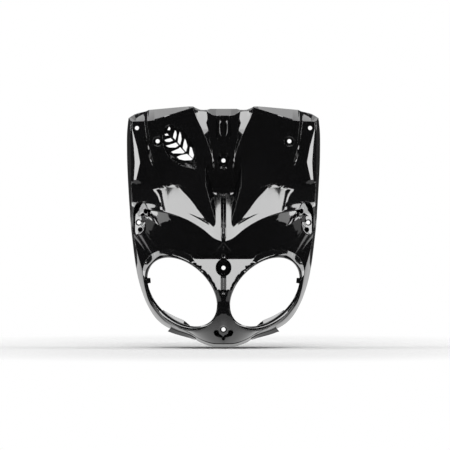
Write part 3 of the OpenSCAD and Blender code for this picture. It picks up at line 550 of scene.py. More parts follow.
def station(f, edge, brow):
    """Nodes from the flange over the rim and its band out to the edge, at one turn of the lamp."""
    r = rim(f)
    e, n = oval(f), oval_out(f)
    edge = np.array(edge, float)
    reach = np.linalg.norm(edge[:2] - e)
    out = min(r[1], reach * RIM_MOST)
    foot = min(out + r[2], reach * BAND_MOST)
    fe = p3(e + n * out, r[0])
    way = (edge[:2] - e) / reach
    bend = step_up(*BEND_WIDTHS, r[2])
    ft = p3(e + (n * (1 - bend) + way * bend) * foot, r[3])
    turn = f + 360 if f < -200 else f
    if turn > NOSE_GROWS[0]:
        ft = nose_foot(ft, e, way, reach, brow, turn)
    nodes = [p3(e, r[0] - LIP_BACK - FLANGE), p3(e, r[0] - LIP_BACK)]
    nodes += [raised(mix(nodes[1], fe, q), LIP_BULGE * math.sin(math.pi * q)) for q in LIP_AT]
    nodes += [fe]
    lip_n = len(nodes)
    nodes += [raised(mix(fe, ft, q), float(curve(q, BAND))) for q in BAND_AT]
    if brow:
        s = curve(edge[0], SCOOP)
        low = raised(mix(edge, ft, s[0] / max(8, edge[1] - ft[1])), SCOOP_LIFT)
        deep = raised(mix(edge, low, SCOOP_STEP / s[0]), -s[1])
        nodes += [mix(ft, low, q) for q in BROW_AT]
        nodes += [low, mix(low, deep, 0.5), deep, edge]
    elif f < MIDDLE_TURN:
        side = mix(edge, ft, min(GROOVE_MOST, GROOVE_HALF / ft[0]))
        nodes += [mix(ft, side, q) for q in NOSE_AT]
        nodes += [mix(side, edge, q) for q in GROOVE_AT]
    else:
        nodes += [mix(ft, edge, q) for q in LOW_AT]
        nodes += [edge]
    if turn < NOSE_TURN:
        return nodes
    return nodes[:lip_n] + [on_nose(n, e, turn) for n in nodes[lip_n:]]


def finer(values, n):
    return [mix(a, b, k / n) for a, b in zip(values, values[1:]) for k in range(n)] + [values[-1]]


# The turns of the stations that run to the lower outline and to the centre line.
CENTRE_AT = [
    -167.2, -174, -180, -188, -195, -206, -218, -229, -236, -240, -248, -256, -261, -266, -269, -271,
    -272.3]
LOW_CUTS, CENTRE_CUTS = 5, 4
low_turns = finer(LOW[0][::-1], LOW_CUTS)[1:]
mid_turns = finer(CENTRE_AT, CENTRE_CUTS)[1:-1]
brow_turns = [float(curve(p[0], BROW_TURN)) for p in upper[0]]
stations = [station(f, p, True) for f, p in zip(brow_turns, upper[0])]
stations += [station(f, curve(f, LOW)[:3], False) for f in low_turns]
stations += [station(f, [0, *curve(f, CENTRE)[1:]], False) for f in mid_turns]
stations = np.array(stations)
turns = brow_turns + low_turns + mid_turns
ring_n = stations.shape[1]

# The outline: crease, rear node, and whether it lies along the top.
REAR_UP, REAR_LIFT = 3, (340, 384)
outline = []
for j in range(rail_n + 1):
    outline.append((upper[row_n][j], line(upper[row_n][j][0], TOP_EDGE), 1))
for i in range(row_n - 1, -1, -1):
    p = upper[i][rail_n]
    t = curve(p[1] + REAR_UP, REAR)
    outline.append((p, np.array([t[0], p[1] + REAR_UP * step_up(*REAR_LIFT, p[1]), t[1]]), 0))
for k, f in enumerate(low_turns):
    q = curve(f, LOW)
    outline.append((stations[rail_n + 1 + k][-1], q[3:6], 0))


# The walls round the outline: a rounded shoulder, then the wall, with a return along the top.
SHOULDER, WALL_PART, TOP_RETURN = 0.1, 0.55, 8
SHOULDER_TOP, SHOULDER_SIDE = 1.2, 3


def wall_nodes(o):
    a, t, top = o
    if top:
        return [a, raised(mix(a, t, SHOULDER), SHOULDER_TOP), t, raised(t, -TOP_RETURN)]
    return [a, raised(mix(a, t, SHOULDER), SHOULDER_SIDE), mix(a, t, WALL_PART), t]


def out_of(o):
    v = o[1][:2] - o[0][:2]
    return v / np.linalg.norm(v)


walls = np.array([wall_nodes(o) for o in outline])


# The inner sheets lie one wall behind the outer ones. Shares of the wall are taken at the
# outline, at the brow, on the steepest faces and round the rim.
EDGE_WALL, BROW_WALL, STEEP_WALL, RIM_WALL, SHOULDER_WALL = 1.3, 1.15, 2.3, 0.9, 0.8


def steep(a, b):
    w = np.linalg.norm(a[:2] - b[:2])
    return 0 if w < 0.01 else (a[2] - b[2]) / w


def shift_in(p, o):
    n = out_of(o)
    return np.array([p[0] - n[0] * WALL, p[1] - n[1] * WALL, p[2]])


def upper_in(i, j):
    p = upper[i][j]
    if i == row_n:
        return shift_in(p, outline[j]) - [0, 0, WALL * EDGE_WALL]
    if j == rail_n:
        return shift_in(p, outline[rail_n + row_n - i]) - [0, 0, WALL * EDGE_WALL]
    if i == 0:
        return p - [0, 0, WALL * BROW_WALL]
    s1 = steep(upper[i + 1][j], upper[i - 1][j])
    s2 = 0 if j == 0 else steep(upper[i][j + 1], upper[i][j - 1])
    return p - [0, 0, WALL * min(STEEP_WALL, math.sqrt(1 + s1 * s1 + s2 * s2))]


inner_upper = np.array([[upper_in(i, j) for j in range(rail_n + 1)] for i in range(row_n + 1)])

# A ball of one wall rolled behind the face: [along, behind] at points of its front half.
BALL_N, BALL_SHARE = 6, 0.97
BALL_AT = [i / BALL_N * BALL_SHARE for i in range(-BALL_N, BALL_N + 1)]
BALL = [(a, math.sqrt(1 - a ** 2)) for a in BALL_AT]


# Least steps that keep the nodes of a station in order, outside and inside the wall.
STEP_OUT, STEP_TINY, STEP_IN = 0.001, 1e-5, 0.5


def station_in(s):
    """The inner nodes of a station: the ball of one wall kept behind the outer ones."""
    st, f = stations[s], turns[s]
    e, b = st[0], st[-1]
    way = b[:2] - e[:2]
    reach = np.linalg.norm(way)
    way = way / reach
    k = s - rail_n - 1
    side = 0 <= k < len(low_turns)
    n = oval_out(f)
    fin = e[:2] + n * WALL
    if k < 0:
        last = inner_upper[0][s]
    elif side:
        last = shift_in(b, outline[rail_n + row_n + 1 + k]) - [0, 0, WALL * EDGE_WALL]
    else:
        last = b - [0, 0, WALL * EDGE_WALL]
    along = (st[:, :2] - e[:2]) @ way + np.arange(ring_n) * STEP_OUT
    along = np.maximum.accumulate(along) + np.arange(ring_n) * STEP_TINY
    face, depth = along[2:], st[2:, 2]

    def at(x):
        return np.array([np.interp(x, along, st[:, 0]), np.interp(x, along, st[:, 1])])

    def behind(x):
        return min(np.interp(x + a * WALL, face, depth) - c * WALL for a, c in BALL)

    x0, x1 = (fin - e[:2]) @ way, (last[:2] - e[:2]) @ way
    slip, skew = last[:2] - at(x1), fin - at(x0)
    step = min(STEP_IN, (x1 - x0) / (ring_n + 1))
    nodes = []
    for r in range(ring_n):
        if r == 0:
            nodes.append(p3(fin, st[0][2]))
        elif r == 1:
            nodes.append(p3(fin, st[1][2] - WALL * RIM_WALL))
        elif r == ring_n - 1:
            nodes.append(last)
        else:
            x = max(x0 + step * (r - 1.4), min(along[r], x1 - step * (ring_n - 1 - r)))
            g = (x - x0) / (x1 - x0)
            nodes.append(p3(at(x) + slip * g + skew * (1 - g), behind(x) - (1 if r == 2 else 0)))
    return nodes


def wall_nodes_in(k):
    if k <= rail_n:
        first = inner_upper[row_n][k]
    elif k <= rail_n + row_n:
        first = inner_upper[rail_n + row_n - k][rail_n]
    else:
        first = inner_rings[k - row_n][-1]
    shoulder, side, rear = (shift_in(walls[k][w], outline[k]) for w in (1, 2, 3))
    return [first, raised(shoulder, -WALL * SHOULDER_WALL), side, rear]


inner_rings = np.array([station_in(s) for s in range(len(stations))])
inner_walls = np.array([wall_nodes_in(k) for k in range(len(outline))])


# Sheets into facets.
def sheet(g, closed=False):
    faces = []
    count = len(g)
    for i in range(count if closed else count - 1):
        n = (i + 1) % count
        for j in range(len(g[0]) - 1):
            a, b, c, d = g[i][j], g[n][j], g[n][j + 1], g[i][j + 1]
            faces += [(a, b, c), (a, c, d)]
    return faces


def band(a, b, closed=False):
    faces = []
    count = len(a)
    for i in range(count if closed else count - 1):
        n = (i + 1) % count
        faces += [(a[i], a[n], b[n]), (a[i], b[n], b[i])]
    return faces


def turned(faces):
    return [(c, b, a) for a, b, c in faces]


half = sheet(upper) + turned(sheet(inner_upper))
half += turned(sheet(stations, True)) + sheet(inner_rings, True)
half += turned(sheet(walls)) + sheet(inner_walls)
half += turned(band([s[0] for s in inner_rings], [s[0] for s in stations], True))
half += turned(band([w[3] for w in walls], [w[3] for w in inner_walls]))
ORIGIN = (0.0, -(MIDDLE_FLOOR - WALL / 2), MIDDLE_Z)


def place(p):
    return ((p[0] - ORIGIN[0]) / 1000, (-p[2] - ORIGIN[1]) / 1000, (p[1] - ORIGIN[2]) / 1000)


def make(name, faces, mirror=False):
    """A mesh object from triangles given by their corners, joined where corners meet."""
    index, verts, tris = {}, [], []

    def vert(p):
        key = (round(p[0], 4) + 0.0, round(p[1], 4) + 0.0, round(p[2], 4) + 0.0)
        if key not in index:
            index[key] = len(verts)
            verts.append(place(key))
        return index[key]

    for t in faces:
        ids = tuple(vert(p) for p in t)
        if len(set(ids)) == 3:
            tris.append(ids)
        if mirror:
            ids = tuple(vert((-p[0], p[1], p[2])) for p in t)[::-1]
            if len(set(ids)) == 3:
                tris.append(ids)
    mesh = bpy.data.meshes.new(name)
    mesh.from_pydata(verts, [], tris)
    mesh.validate()
    obj = bpy.data.objects.new(name, mesh)
    bpy.context.scene.collection.objects.link(obj)
    return obj


shell = make("mask_shell", half, True)


def tree_of(faces):
    """A search tree over triangles given by their corners."""
    corners, tris = [], []
    for t in faces:
        tris.append(tuple(range(len(corners), len(corners) + 3)))
        corners += [tuple(float(x) for x in p) for p in t]
    return BVHTree.FromPolygons(corners, tris)


IN_FRONT = 400
outer_face = tree_of(sheet(upper) + sheet([s[2:] for s in stations], True))


def face_at(q):
    """The depth of the outer face at any point."""
    hit = outer_face.ray_cast(Vector((abs(q[0]) + 1e-4, q[1], IN_FRONT)), Vector((0, 0, -1)))
    return hit[0].z if hit[0] is not None else -1


# Outlines and the blocks between them.
def ring_of(x, z, a, b, n=64):
    return [(x + a * math.cos(2 * math.pi * i / n), z + b * math.sin(2 * math.pi * i / n)) for i in range(n)]


def middle_of(o):
    return (sum(p[0] for p in o) / len(o), sum(p[1] for p in o) / len(o))


def grown(o, by):
    """An outline moved away from its middle."""
    m = middle_of(o)
    made = []
    for p in o:
        w = math.hypot(p[0] - m[0], p[1] - m[1])
        made.append((p[0] + (p[0] - m[0]) / w * by, p[1] + (p[1] - m[1]) / w * by))
    return made


def flipped(o):
    return [(-p[0], p[1]) for p in o[::-1]]


def fuller(o):
    """An outline with a point added between each pair, on a smooth curve through them."""
    n, made = len(o), []
    for i in range(n):
        a, b, c, d = o[(i - 1) % n], o[i], o[(i + 1) % n], o[(i + 2) % n]
        made += [b, tuple((9 * (b[k] + c[k]) - a[k] - d[k]) / 16 for k in (0, 1))]
    return made


def block(name, levels):
    """A closed block through levels of (outline, depths), from the back to the front."""
    rings = [[(p[0], p[1], d) for p, d in zip(o, ds)] for o, ds in levels]
    n = len(rings[0])
    faces = []
    for a, b in zip(rings, rings[1:]):
        for i in range(n):
            j = (i + 1) % n
            faces += [(a[i], a[j], b[j]), (a[i], b[j], b[i])]
    for ring, back in ((rings[0], True), (rings[-1], False)):
        m = tuple(sum(p[k] for p in ring) / n for k in range(3))
        for i in range(n):
            j = (i + 1) % n
            faces.append((m, ring[j], ring[i]) if back else (m, ring[i], ring[j]))
    return make(name, faces)


def same(o, d):
    return [d] * len(o)


def cut(tool, how):
    mod = shell.modifiers.new(how, "BOOLEAN")
    mod.operation, mod.object, mod.solver = how, tool, "MANIFOLD"
    dg = bpy.context.evaluated_depsgraph_get()
    made = bpy.data.meshes.new_from_object(shell.evaluated_get(dg))
    shell.modifiers.clear()
    old = shell.data
    shell.data = made
    bpy.data.meshes.remove(old)
    data = tool.data
    bpy.data.objects.remove(tool)
    bpy.data.meshes.remove(data)


# Cups and pockets. Each is [bed outline, bed depths, mouth outline], and a fourth value
# where the body round it ends at a depth of its own.
WING_SCREW = (112.2, 350.2)
LUG_SCREW = (144.5, 211.7)
CORNER = (147.8, 373)
NOSE_FLOOR, NOSE_SCREW_Z, CHIN_SCREW_Z = 122.5, 135.2, 31.5
LUG_FLOOR, LUG_SEAT, LUG_SLOPE, LUG_LEAN, LUG_RAMP, LUG_CREASE = 44, 67.5, 0.15, 0.95, 0.22, 222
LUG_MIDDLE_U, LUG_NARROW, LUG_SHORT = 140.8, 0.09, 0.06
DISH_BED_R = 6.3

# The chin's face: its depth at one height and how it rises. Depths sunk into it.
CHIN_FACE, CHIN_AT, CHIN_RISE = 131, 28, 1.62
CHIN_POCKET, CHIN_SIDE, CHIN_SLOT, VENT_DEEP = 4, 11, 9, 6
WING_FLOOR = wing_d(*WING_SCREW) - DISH_DEEP
lug_mouth = [
    (153, 222.2), (129, 222.2), (132.4, 216), (133.5, 207.4), (135.7, 199), (139.8, 193.8), (145, 191.4),
    (149.6, 190.4), (152.3, 196.5), (153.3, 207.4)]
ramp_mouth = [
    (153, 222), (152.8, 231), (152.4, 235), (151.4, 238), (150, 241), (147.8, 244.6), (143.7, 247.5),
    (138, 247), (133, 244.8), (129.8, 240), (128.6, 234.6), (128.6, 232.3), (128.6, 222)]
vent_mouth = [
    (-46.5, 304), (-48, 322), (-51.5, 341), (-59, 358), (-72, 370), (-90, 378.5), (-99, 373.5),
    (-103.5, 356), (-101, 338), (-91, 322), (-75, 310), (-58, 304.5)]
vent_bed = [
    (-49.5, 317), (-49.8, 323), (-53.3, 340.5), (-60.3, 356.3), (-72.5, 367.8), (-89.5, 376.3),
    (-97.5, 371.8), (-101.6, 356), (-99.3, 340), (-90, 326.5), (-77, 319.5), (-61, 317.3)]
chin_mouth = [
    (17, 26.5), (14.5, 31.5), (8.5, 33), (5.5, 37), (0, 39), (-5.5, 37), (-8.5, 33), (-14.5, 31.5),
    (-17, 26.5), (-13.5, 20.5), (-7, 18), (0, 17), (7, 18), (13.5, 20.5)]
chin_bed = [(x * 0.93, 27 + (z - 27) * 0.9) for x, z in chin_mouth]
chin_side = [(13.4, 20.2), (16, 24), (15.8, 28.4), (12.6, 31), (8.6, 30.4), (7.2, 25.6), (8, 20.6)]
chin_slot = [(-2.5, 17.6), (-2.5, 13.2), (0, 12.2), (2.5, 13.2), (2.5, 17.6)]


def drawn_in(o):
    """The bed of a lug pocket from its mouth. Its side on the crease stays there."""
    made = []
    for x, z in o:
        on_crease = abs(z - LUG_CREASE) < 1
        made.append((mix(x, LUG_MIDDLE_U, LUG_NARROW), z if on_crease else mix(z, LUG_CREASE, LUG_SHORT)))
    return made


def lug_d(p, ramp=0.0):
    across = LUG_LEAN * (abs(p[0]) - LUG_SCREW[0])
    return LUG_SEAT - across - LUG_SLOPE * (p[1] - LUG_SCREW[1]) - ramp * max(0, p[1] - LUG_CREASE)


def lug_cup(bed, mouth, ramp):
    return [bed, [lug_d(p, ramp) for p in bed], mouth]


def chin_cup(bed, mouth, sunk):
    return [bed, [CHIN_FACE + CHIN_RISE * (z - CHIN_AT) - sunk for x, z in bed], mouth]


def vent_cup(bed, mouth):
    return [bed, [upper_d(abs(x), z) - VENT_DEEP for x, z in bed], mouth]


def oval_cup(bed, mouth, d):
    """A level cup between two ovals, each given as (x, z, half width, half height)."""
    ring = ring_of(*bed)
    return [ring, same(ring, d), ring_of(*mouth)]


def dish(x, z, d):
    return oval_cup((x, z, DISH_BED_R, DISH_BED_R), (x, z, DISH_R, DISH_R), d)


def lug_dip(side, x, z, a, b, sunk):
    """A small hollow in a lug pocket, whose body ends a little above its bed."""
    bed = ring_of(side * x, z, a, b)
    depths = [lug_d(p, LUG_RAMP) - sunk for p in bed]
    mouth = ring_of(side * x, z, a + DIP_TAPER, b + DIP_TAPER)
    return [bed, depths, mouth, lug_d((x, z), LUG_RAMP) - sunk + DIP_BODY]


# The dips in a lug pocket: (u, z, half width, half height, how far it is sunk).
DIPS = ((*LUG_SCREW, 4.6, 5, LUG_SEAT - LUG_FLOOR), (141.6, 199.4, 3.6, 3.6, 7), (132.2, 230.8, 3, 4, 9))
DIP_TAPER, DIP_BODY = 0.3, 3

side_back, slot_back = grown(chin_side, -0.8), grown(chin_slot, -0.6)
lug_bed, ramp_bed = drawn_in(lug_mouth), drawn_in(ramp_mouth)
pockets = [
    lug_cup(lug_bed, lug_mouth, 0),
    lug_cup(flipped(lug_bed), flipped(lug_mouth), 0),
    lug_cup(ramp_bed, ramp_mouth, LUG_RAMP),
    lug_cup(flipped(ramp_bed), flipped(ramp_mouth), LUG_RAMP),
]
cups = [
    dish(*WING_SCREW, WING_FLOOR),
    dish(-WING_SCREW[0], WING_SCREW[1], WING_FLOOR),
    oval_cup((0, MIDDLE_Z, DISH_BED_R, 8.5), (0, 318, 10.2, 16), MIDDLE_FLOOR),
    oval_cup((0, 135.6, 9.8, 11.4), (0, 135.6, 13.2, 14.4), NOSE_FLOOR),
    oval_cup((0, CHIN_SCREW_Z, 5.2, 5.2), (0, CHIN_SCREW_Z, 5.5, 5.5), NOSE_FLOOR),
    chin_cup(chin_bed, chin_mouth, CHIN_POCKET),
    chin_cup(side_back, chin_side, CHIN_SIDE),
    chin_cup(flipped(side_back), flipped(chin_side), CHIN_SIDE),
    chin_cup(slot_back, chin_slot, CHIN_SLOT),
]
cups += pockets
cups += [lug_dip(side, *row) for side in (-1, 1) for row in DIPS]
cups.append(vent_cup(fuller(fuller(vent_bed)), fuller(fuller(vent_mouth))))

# How a cup's body and hollow are made: shares of the wall round its bed and under the face,
# how far in front of the face the hollow reaches, and how far its flare may go.
BED_WALL, FACE_WALL, HOLLOW_REACH, FLARE_MOST, FLARE_LEAST = 1.2, 0.62, 12, 3.2, 2
NO_CAP = 1e3


def cup_body(c):
    wide = min(max(p[k] for p in c[0]) - min(p[k] for p in c[0]) for k in (0, 1))
    slant = math.hypot(1, (max(c[1]) - min(c[1])) / wide)
    mouth, bed = grown(c[2], WALL), grown(c[0], WALL * BED_WALL)
    back = [d - WALL * slant for d in c[1]]
    front = [max(d - 1, face_at(p) - WALL * FACE_WALL * slant) for p, d in zip(mouth, c[1])]
    cap = c[3] if len(c) > 3 else NO_CAP
    return block("body", [(bed, back), (mouth, [min(cap, d) for d in front])])


def cup_hollow(c):
    d = [face_at(p) for p in c[2]]
    far, depth = [], []
    for i, p in enumerate(c[2]):
        w = min(FLARE_MOST, (d[i] + HOLLOW_REACH - c[1][i]) / max(FLARE_LEAST, d[i] - c[1][i]))
        far.append((mix(c[0][i][0], p[0], w), mix(c[0][i][1], p[1], w)))
        depth.append(mix(c[1][i], d[i], w))
    return block("hollow", [(c[0], c[1]), (far, depth)])


# Strips: lens seats behind the rim and fixing tongues under the chin.
def strip(rows):
    faces = []
    for a, b in zip(rows, rows[1:]):
        for j in range(4):
            k = (j + 1) % 4
            faces += [(a[j], a[k], b[k]), (a[j], b[k], b[j])]
    a, b = rows[0], rows[-1]
    faces += [(a[2], a[1], a[0]), (a[3], a[2], a[0]), (b[0], b[1], b[2]), (b[0], b[2], b[3])]
    return faces


SEAT_FALL, SEAT_ROOT, TONGUE_LONG, TONGUE_TIP, TONGUE_ROOT = 0.8, 1.5, 16, 4, 0.7
STRIP_CUTS = 3


def seat(rows):
    """A lens seat behind the rim, from rows of [turn, reach]."""
    made = []
    for f, reach in finer([np.array(r, float) for r in rows], STRIP_CUTS):
        e, n, d = oval(f), oval_out(f), rim(f)[0] - LIP_BACK - FLANGE
        a, b, back = e + n * SEAT_ROOT, e - n * reach, d - SEAT_FALL * reach
        made.append([p3(a, d), p3(b, back), p3(b, back + WALL), p3(a, d + WALL)])
    return made


def tongue(rows):
    """A fixing tongue outside the lower outline, from rows of [turn, reach]."""
    made = []
    for f, out in finer([np.array(r, float) for r in rows], STRIP_CUTS):
        t = curve(f, LOW)
        n = t[3:5] - t[0:2]
        n = n / np.linalg.norm(n)
        a, b = t[3:5] - n * WALL * TONGUE_ROOT, t[3:5] + n * out
        made.append([p3(a, t[5] - 1), p3(b, t[5] - 1), p3(b, t[5] + TONGUE_TIP), p3(a, t[5] + TONGUE_LONG)])
    return made


strips = [
    strip(seat([
        [-88, 1], [-94, 2.6], [-100, 3.8], [-107, 4.8], [-114, 5.6], [-119, 6], [-123, 5.8], [-128, 4.2],
        [-135, 0.6]])),
    strip(seat([[-31, 4.6], [-36, 5], [-41, 4.8]])),
    strip(tongue([[-138, 0.8], [-134, 2.4], [-129, 4], [-124, 4.8], [-119, 5.2], [-114, 5.6], [-110, 6]]))]


def mirrored(faces):
    return [tuple((-p[0], p[1], p[2]) for p in t)[::-1] for t in faces]


for s in strips:
    for part in (s, mirrored(s)):
        cut(make("strip", part), "UNION")

# Solid pads under the lug pockets, with their tops level with the pockets' beds.
PAD_DEEP, PAD_GROWN = 9, 0.4
for bed, _, mouth in pockets:
    wide = grown(mouth, PAD_GROWN)
    depths = [lug_d(p, LUG_RAMP if mouth[2][1] > LUG_CREASE else 0) for p in mouth]
    cut(block("pad", [(wide, [d - PAD_DEEP for d in depths]), (wide, depths)]), "UNION")

for c in cups:
    cut(cup_body(c), "UNION")
for c in cups:
    cut(cup_hollow(c), "DIFFERENCE")

# Vent slots: five chevrons, each a left arm and a rising arm.
ARMS = [
    [(-100.5, 362), (-96, 363.5), (-93.5, 360), (-98.5, 359.5)],
    [(-95.5, 369.5), (-93, 375), (-90.5, 372.5), (-91.5, 369)],
    [(-100.5, 352), (-96, 354), (-90, 355.5), (-86, 351.5), (-92, 349), (-98, 349.5)],
    [(-82.5, 369), (-85, 362), (-86, 357), (-82, 352.5), (-80, 360.5), (-80.5, 366.5)],
    [(-98, 342.5), (-92.5, 344), (-86, 346), (-81, 348), (-76.5, 343), (-81.5, 339.5), (-92.5, 339.5)],
    [(-74.5, 366.5), (-76.5, 358.5), (-78, 348.5), (-74, 344), (-71.5, 353.5), (-72.5, 362)],
    [(-89, 332), (-82.5, 335), (-76.5, 337.5), (-74, 340), (-66, 331.5), (-69, 329.5), (-86, 329.5)],
    [(-66, 354.5), (-68, 347), (-69.5, 338.5), (-64, 332), (-61.5, 341.5), (-64, 351)],
    [(-79.5, 323.5), (-72, 326.5), (-62, 328.5), (-52.5, 320), (-55, 318), (-67, 317.5), (-75.5, 319.5)],
    [(-57, 340.5), (-58, 333), (-58.5, 327), (-52, 321), (-50.5, 326.5), (-54, 339)]]
SLOT_BACK, SLOT_FRONT = 30, 85
for arm in ARMS:
    area = sum(a[0] * b[1] - b[0] * a[1] for a, b in zip(arm, arm[1:] + arm[:1]))
    arm = arm if area > 0 else arm[::-1]
    cut(block("slot", [(arm, same(arm, SLOT_BACK)), (arm, same(arm, SLOT_FRONT))]), "DIFFERENCE")


# Screw holes: how far each reaches behind its floor and in front of it.
BEHIND, CORNER_FLOOR, CORNER_FRONT = 8, 38, 22
WING_FRONT, LUG_FRONT, CHIN_FRONT = 6, 12, 30


def bore(x, z, floor, front):
    o = ring_of(x, z, HOLE_R, HOLE_R)
    cut(block("bore", [(o, same(o, floor - BEHIND)), (o, same(o, floor + front))]), "DIFFERENCE")


for side in (-1, 1):
    bore(side * WING_SCREW[0], WING_SCREW[1], WING_FLOOR, WING_FRONT)
    bore(side * CORNER[0], CORNER[1], CORNER_FLOOR, CORNER_FRONT)
    bore(side * LUG_SCREW[0], LUG_SCREW[1], LUG_FLOOR, LUG_FRONT)
bore(0, MIDDLE_Z, MIDDLE_FLOOR, WING_FRONT)
bore(0, NOSE_SCREW_Z, NOSE_FLOOR, LUG_FRONT)
bore(0, CHIN_SCREW_Z, NOSE_FLOOR, CHIN_FRONT)

# Kept inside the part's own box, with a sharp edge where facets meet at more than this angle.
SHARP_ANGLE = 16
lo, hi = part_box("headlight_mask")
co = np.empty(len(shell.data.vertices) * 3)
shell.data.vertices.foreach_get("co", co)
co = np.clip(co.reshape(-1, 3), np.array(lo), np.array(hi))
shell.data.vertices.foreach_set("co", co.ravel())
for poly in shell.data.polygons:
    poly.use_smooth = True
shell.data.set_sharp_from_angle(angle=math.radians(SHARP_ANGLE))


# Gloss black moulding: deep black with a faint mould texture and a fine edge radius.
def gloss_black():
    mat = bpy.data.materials.new("gloss_black_moulding")
    mat.use_nodes = True
    nt = mat.node_tree
    bsdf = nt.nodes["Principled BSDF"]
    bsdf.inputs["Base Color"].default_value = (0.005, 0.005, 0.0055, 1)
    bsdf.inputs["IOR"].default_value = 1.6
    bsdf.inputs["Coat Weight"].default_value = 0.5
    bsdf.inputs["Coat Roughness"].default_value = 0.02
    where = nt.nodes.new("ShaderNodeTexCoord")
    noise = nt.nodes.new("ShaderNodeTexNoise")
    noise.inputs["Scale"].default_value = 38
    noise.inputs["Detail"].default_value = 4
    ramp = nt.nodes.new("ShaderNodeMapRange")
    ramp.inputs["To Min"].default_value = 0.035
    ramp.inputs["To Max"].default_value = 0.075
    nt.links.new(where.outputs["Object"], noise.inputs["Vector"])
    nt.links.new(noise.outputs["Fac"], ramp.inputs["Value"])
    nt.links.new(ramp.outputs["Result"], bsdf.inputs["Roughness"])
    edge = nt.nodes.new("ShaderNodeBevel")
    edge.samples = 6
    edge.inputs["Radius"].default_value = 0.0007
    nt.links.new(edge.outputs["Normal"], bsdf.inputs["Normal"])
    nt.links.new(edge.outputs["Normal"], bsdf.inputs["Coat Normal"])
    return mat


shell.data.materials.clear()
shell.data.materials.append(gloss_black())
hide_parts("headlight_mask")
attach(shell, "root")


# Studio: a pale floor and backdrop, level panels overhead and upright ones at the sides.
def pale(name, colour):
    mat = bpy.data.materials.new(name)
    mat.use_nodes = True
    nt = mat.node_tree
    bsdf = nt.nodes["Principled BSDF"]
    bsdf.inputs["Base Color"].default_value = (*colour, 1)
    bsdf.inputs["Roughness"].default_value = 0.9
    return mat


# Distances from the part's origin between which the floor turns plain white to the camera.
FADE_FROM, FADE_TO = 0.42, 0.8


def shown_white(mat, camera=True, strength=1.0):
    """Glossy and transmission rays see plain white, and so does the camera, or only far from the object."""
    nt = mat.node_tree
    path = nt.nodes.new("ShaderNodeLightPath")

    def maths(operation, a, b):
        made = nt.nodes.new("ShaderNodeMath")
        made.operation = operation
        nt.links.new(a, made.inputs[0])
        nt.links.new(b, made.inputs[1])
        return made.outputs[0]

    seen = path.outputs["Is Camera Ray"]
    if not camera:
        where = nt.nodes.new("ShaderNodeNewGeometry")
        far = nt.nodes.new("ShaderNodeVectorMath")
        far.operation = "LENGTH"
        nt.links.new(where.outputs["Position"], far.inputs[0])
        fade = nt.nodes.new("ShaderNodeMapRange")
        fade.interpolation_type = "SMOOTHSTEP"
        fade.inputs["From Min"].default_value = FADE_FROM
        fade.inputs["From Max"].default_value = FADE_TO
        nt.links.new(far.outputs["Value"], fade.inputs["Value"])
        seen = maths("MULTIPLY", seen, fade.outputs["Result"])
    rays = maths("MAXIMUM", path.outputs["Is Glossy Ray"], path.outputs["Is Transmission Ray"])
    level = nt.nodes.new("ShaderNodeMapRange")
    level.inputs["To Min"].default_value = 1.0
    level.inputs["To Max"].default_value = strength
    nt.links.new(rays, level.inputs["Value"])
    glow = nt.nodes.new("ShaderNodeEmission")
    nt.links.new(level.outputs["Result"], glow.inputs["Strength"])
    pick = nt.nodes.new("ShaderNodeMixShader")
    nt.links.new(maths("MAXIMUM", seen, rays), pick.inputs["Fac"])
    nt.links.new(nt.nodes["Principled BSDF"].outputs["BSDF"], pick.inputs[1])
    nt.links.new(glow.outputs["Emission"], pick.inputs[2])
    nt.links.new(pick.outputs["Shader"], nt.nodes["Material Output"].inputs["Surface"])


def plane(name, corners, mat):
    mesh = bpy.data.meshes.new(name)
    mesh.from_pydata(corners, [], [(0, 1, 2, 3)])
    mesh.materials.append(mat)
    obj = bpy.data.objects.new(name, mesh)
    bpy.context.scene.collection.objects.link(obj)
    return obj


# The floor in metres: its height, its half width, and where it starts, is split and ends.
FLOOR_Z = lo[2]
FLOOR_HALF, FLOOR_FRONT, FLOOR_SPLIT, FLOOR_BACK = 3, -4, -0.3, 3
MIDDLE = Vector((0, 0, -0.11))
backdrop_mat = pale("backdrop_white", (0.9, 0.9, 0.9))
shown_white(backdrop_mat)
plane("backdrop", [(-1, 8, -1.3), (1, 8, -1.3), (1, 8, 1.1), (-1, 8, 1.1)], backdrop_mat)
floor_mat = pale("floor_white", (0.85, 0.85, 0.85))
shown_white(floor_mat, False, 0.6)


def floor_piece(name, y0, y1):
    corners = ((-FLOOR_HALF, y0), (FLOOR_HALF, y0), (FLOOR_HALF, y1), (-FLOOR_HALF, y1))
    return plane(name, [(x, y, FLOOR_Z) for x, y in corners], floor_mat)


floor_piece("floor", FLOOR_SPLIT, FLOOR_BACK)
front = floor_piece("floor_front", FLOOR_FRONT, FLOOR_SPLIT)
front.visible_glossy = False


def softbox(name, corners, strength):
    """A lamp panel with its corners given as offsets from the middle of the object."""
    mat = bpy.data.materials.new(name)
    mat.use_nodes = True
    nt = mat.node_tree
    nt.nodes.remove(nt.nodes["Principled BSDF"])
    glow = nt.nodes.new("ShaderNodeEmission")
    glow.inputs["Strength"].default_value = strength
    nt.links.new(glow.outputs["Emission"], nt.nodes["Material Output"].inputs["Surface"])
    obj = plane(name, [tuple(MIDDLE + Vector(c)) for c in corners], mat)
    obj.visible_camera = False
    return obj


# Height of the overhead panels above the middle, and distance of the upright ones from it.
HIGH, FAR = 1.3, 1.5


def overhead(name, outline, strength):
    """A level panel above the object, drawn as [x, distance in front] in metres."""
    return softbox(name, [(x, -y, HIGH) for x, y in outline], strength)


def beside(name, az0, az1, el0, el1, strength):
    """An upright panel between two bearings from the camera side and two elevations."""
    made = []
    for az, el in ((az0, el0), (az1, el0), (az1, el1), (az0, el1)):
        a = math.radians(az)
        made.append((FAR * math.sin(a), -FAR * math.cos(a), FAR * math.tan(math.radians(el))))
    return softbox(name, made, strength)


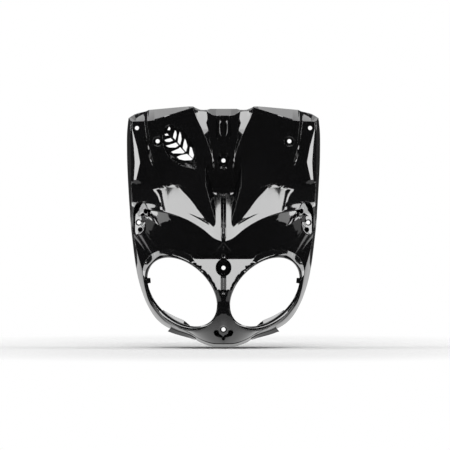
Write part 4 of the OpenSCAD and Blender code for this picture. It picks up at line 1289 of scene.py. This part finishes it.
# The panels over the long slopes, whose back edge is bowed: x at both ends, then how far in front
# their back edge and their front edge lie at each end.
TOP_FRONT = (
    (0, 0.3, 0.36, 0.345, 0.66, 0.66), (0.3, 0.52, 0.345, 0.305, 0.66, 0.6),
    (0.52, 0.66, 0.305, 0.275, 0.6, 0.5), (0.66, 0.8, 0.275, 0.2, 0.42, 0.33),
    (0.8, 1.0, 0.2, 0.11, 0.33, 0.24))
TOP_SIDE = ((0.95, -0.58), (2, -0.58), (2, 0.04), (0.95, -0.03))
TOP_FAR = ((2, -0.5), (2.75, -0.5), (2.75, 0), (2, 0))

for side in (-1, 1):
    for x0, x1, b0, b1, f0, f1 in TOP_FRONT:
        overhead("top_front", [(side * x0, b0), (side * x1, b1), (side * x1, f1), (side * x0, f0)], 7)
    overhead("top_side", [(side * x, y) for x, y in TOP_SIDE], 5.5)
    overhead("top_far", [(side * x, y) for x, y in TOP_FAR], 4)
    beside("side_strip", side * 84, side * 93, 3, 16, 7)
    beside("side_strip_high", side * 82, side * 93, 16, 38, 4.5)
    beside("side_fill", side * 67, side * 84, 7, 16, 2)
    beside("rear_fill", side * 150, side * 180, 30, 55, 0.8)
overhead("top_back", [(-0.95, -0.9), (0.95, -0.9), (0.95, -0.05), (-0.95, -0.05)], 2)

world = bpy.data.worlds.new("studio")
world.use_nodes = True
nt = world.node_tree
path = nt.nodes.new("ShaderNodeLightPath")
level = nt.nodes.new("ShaderNodeMapRange")
level.inputs["To Min"].default_value = 0.03
level.inputs["To Max"].default_value = 1.0
nt.links.new(path.outputs["Is Camera Ray"], level.inputs["Value"])
nt.nodes["Background"].inputs["Color"].default_value = (1, 1, 1, 1)
nt.links.new(level.outputs["Result"], nt.nodes["Background"].inputs["Strength"])
bpy.context.scene.world = world

# The camera looks level at the mask from far off, so that the picture is this wide at its face.
SENSOR, CAMERA_FAR, PICTURE_WIDE = 36, 6.0, 0.765
CAMERA_X, CAMERA_Y, CAMERA_Z = 0.00255, -CAMERA_FAR - 0.01, -0.1097
cam = bpy.data.cameras.new("camera")
cam.sensor_width = SENSOR
cam.lens = SENSOR * CAMERA_FAR / PICTURE_WIDE
camera = bpy.data.objects.new("camera", cam)
bpy.context.scene.collection.objects.link(camera)
camera.location = (CAMERA_X, CAMERA_Y, CAMERA_Z)
camera.rotation_euler = (math.pi / 2, 0, 0)
bpy.context.scene.camera = camera
cam.clip_end = 30
bpy.context.scene.view_settings.view_transform = "Standard"
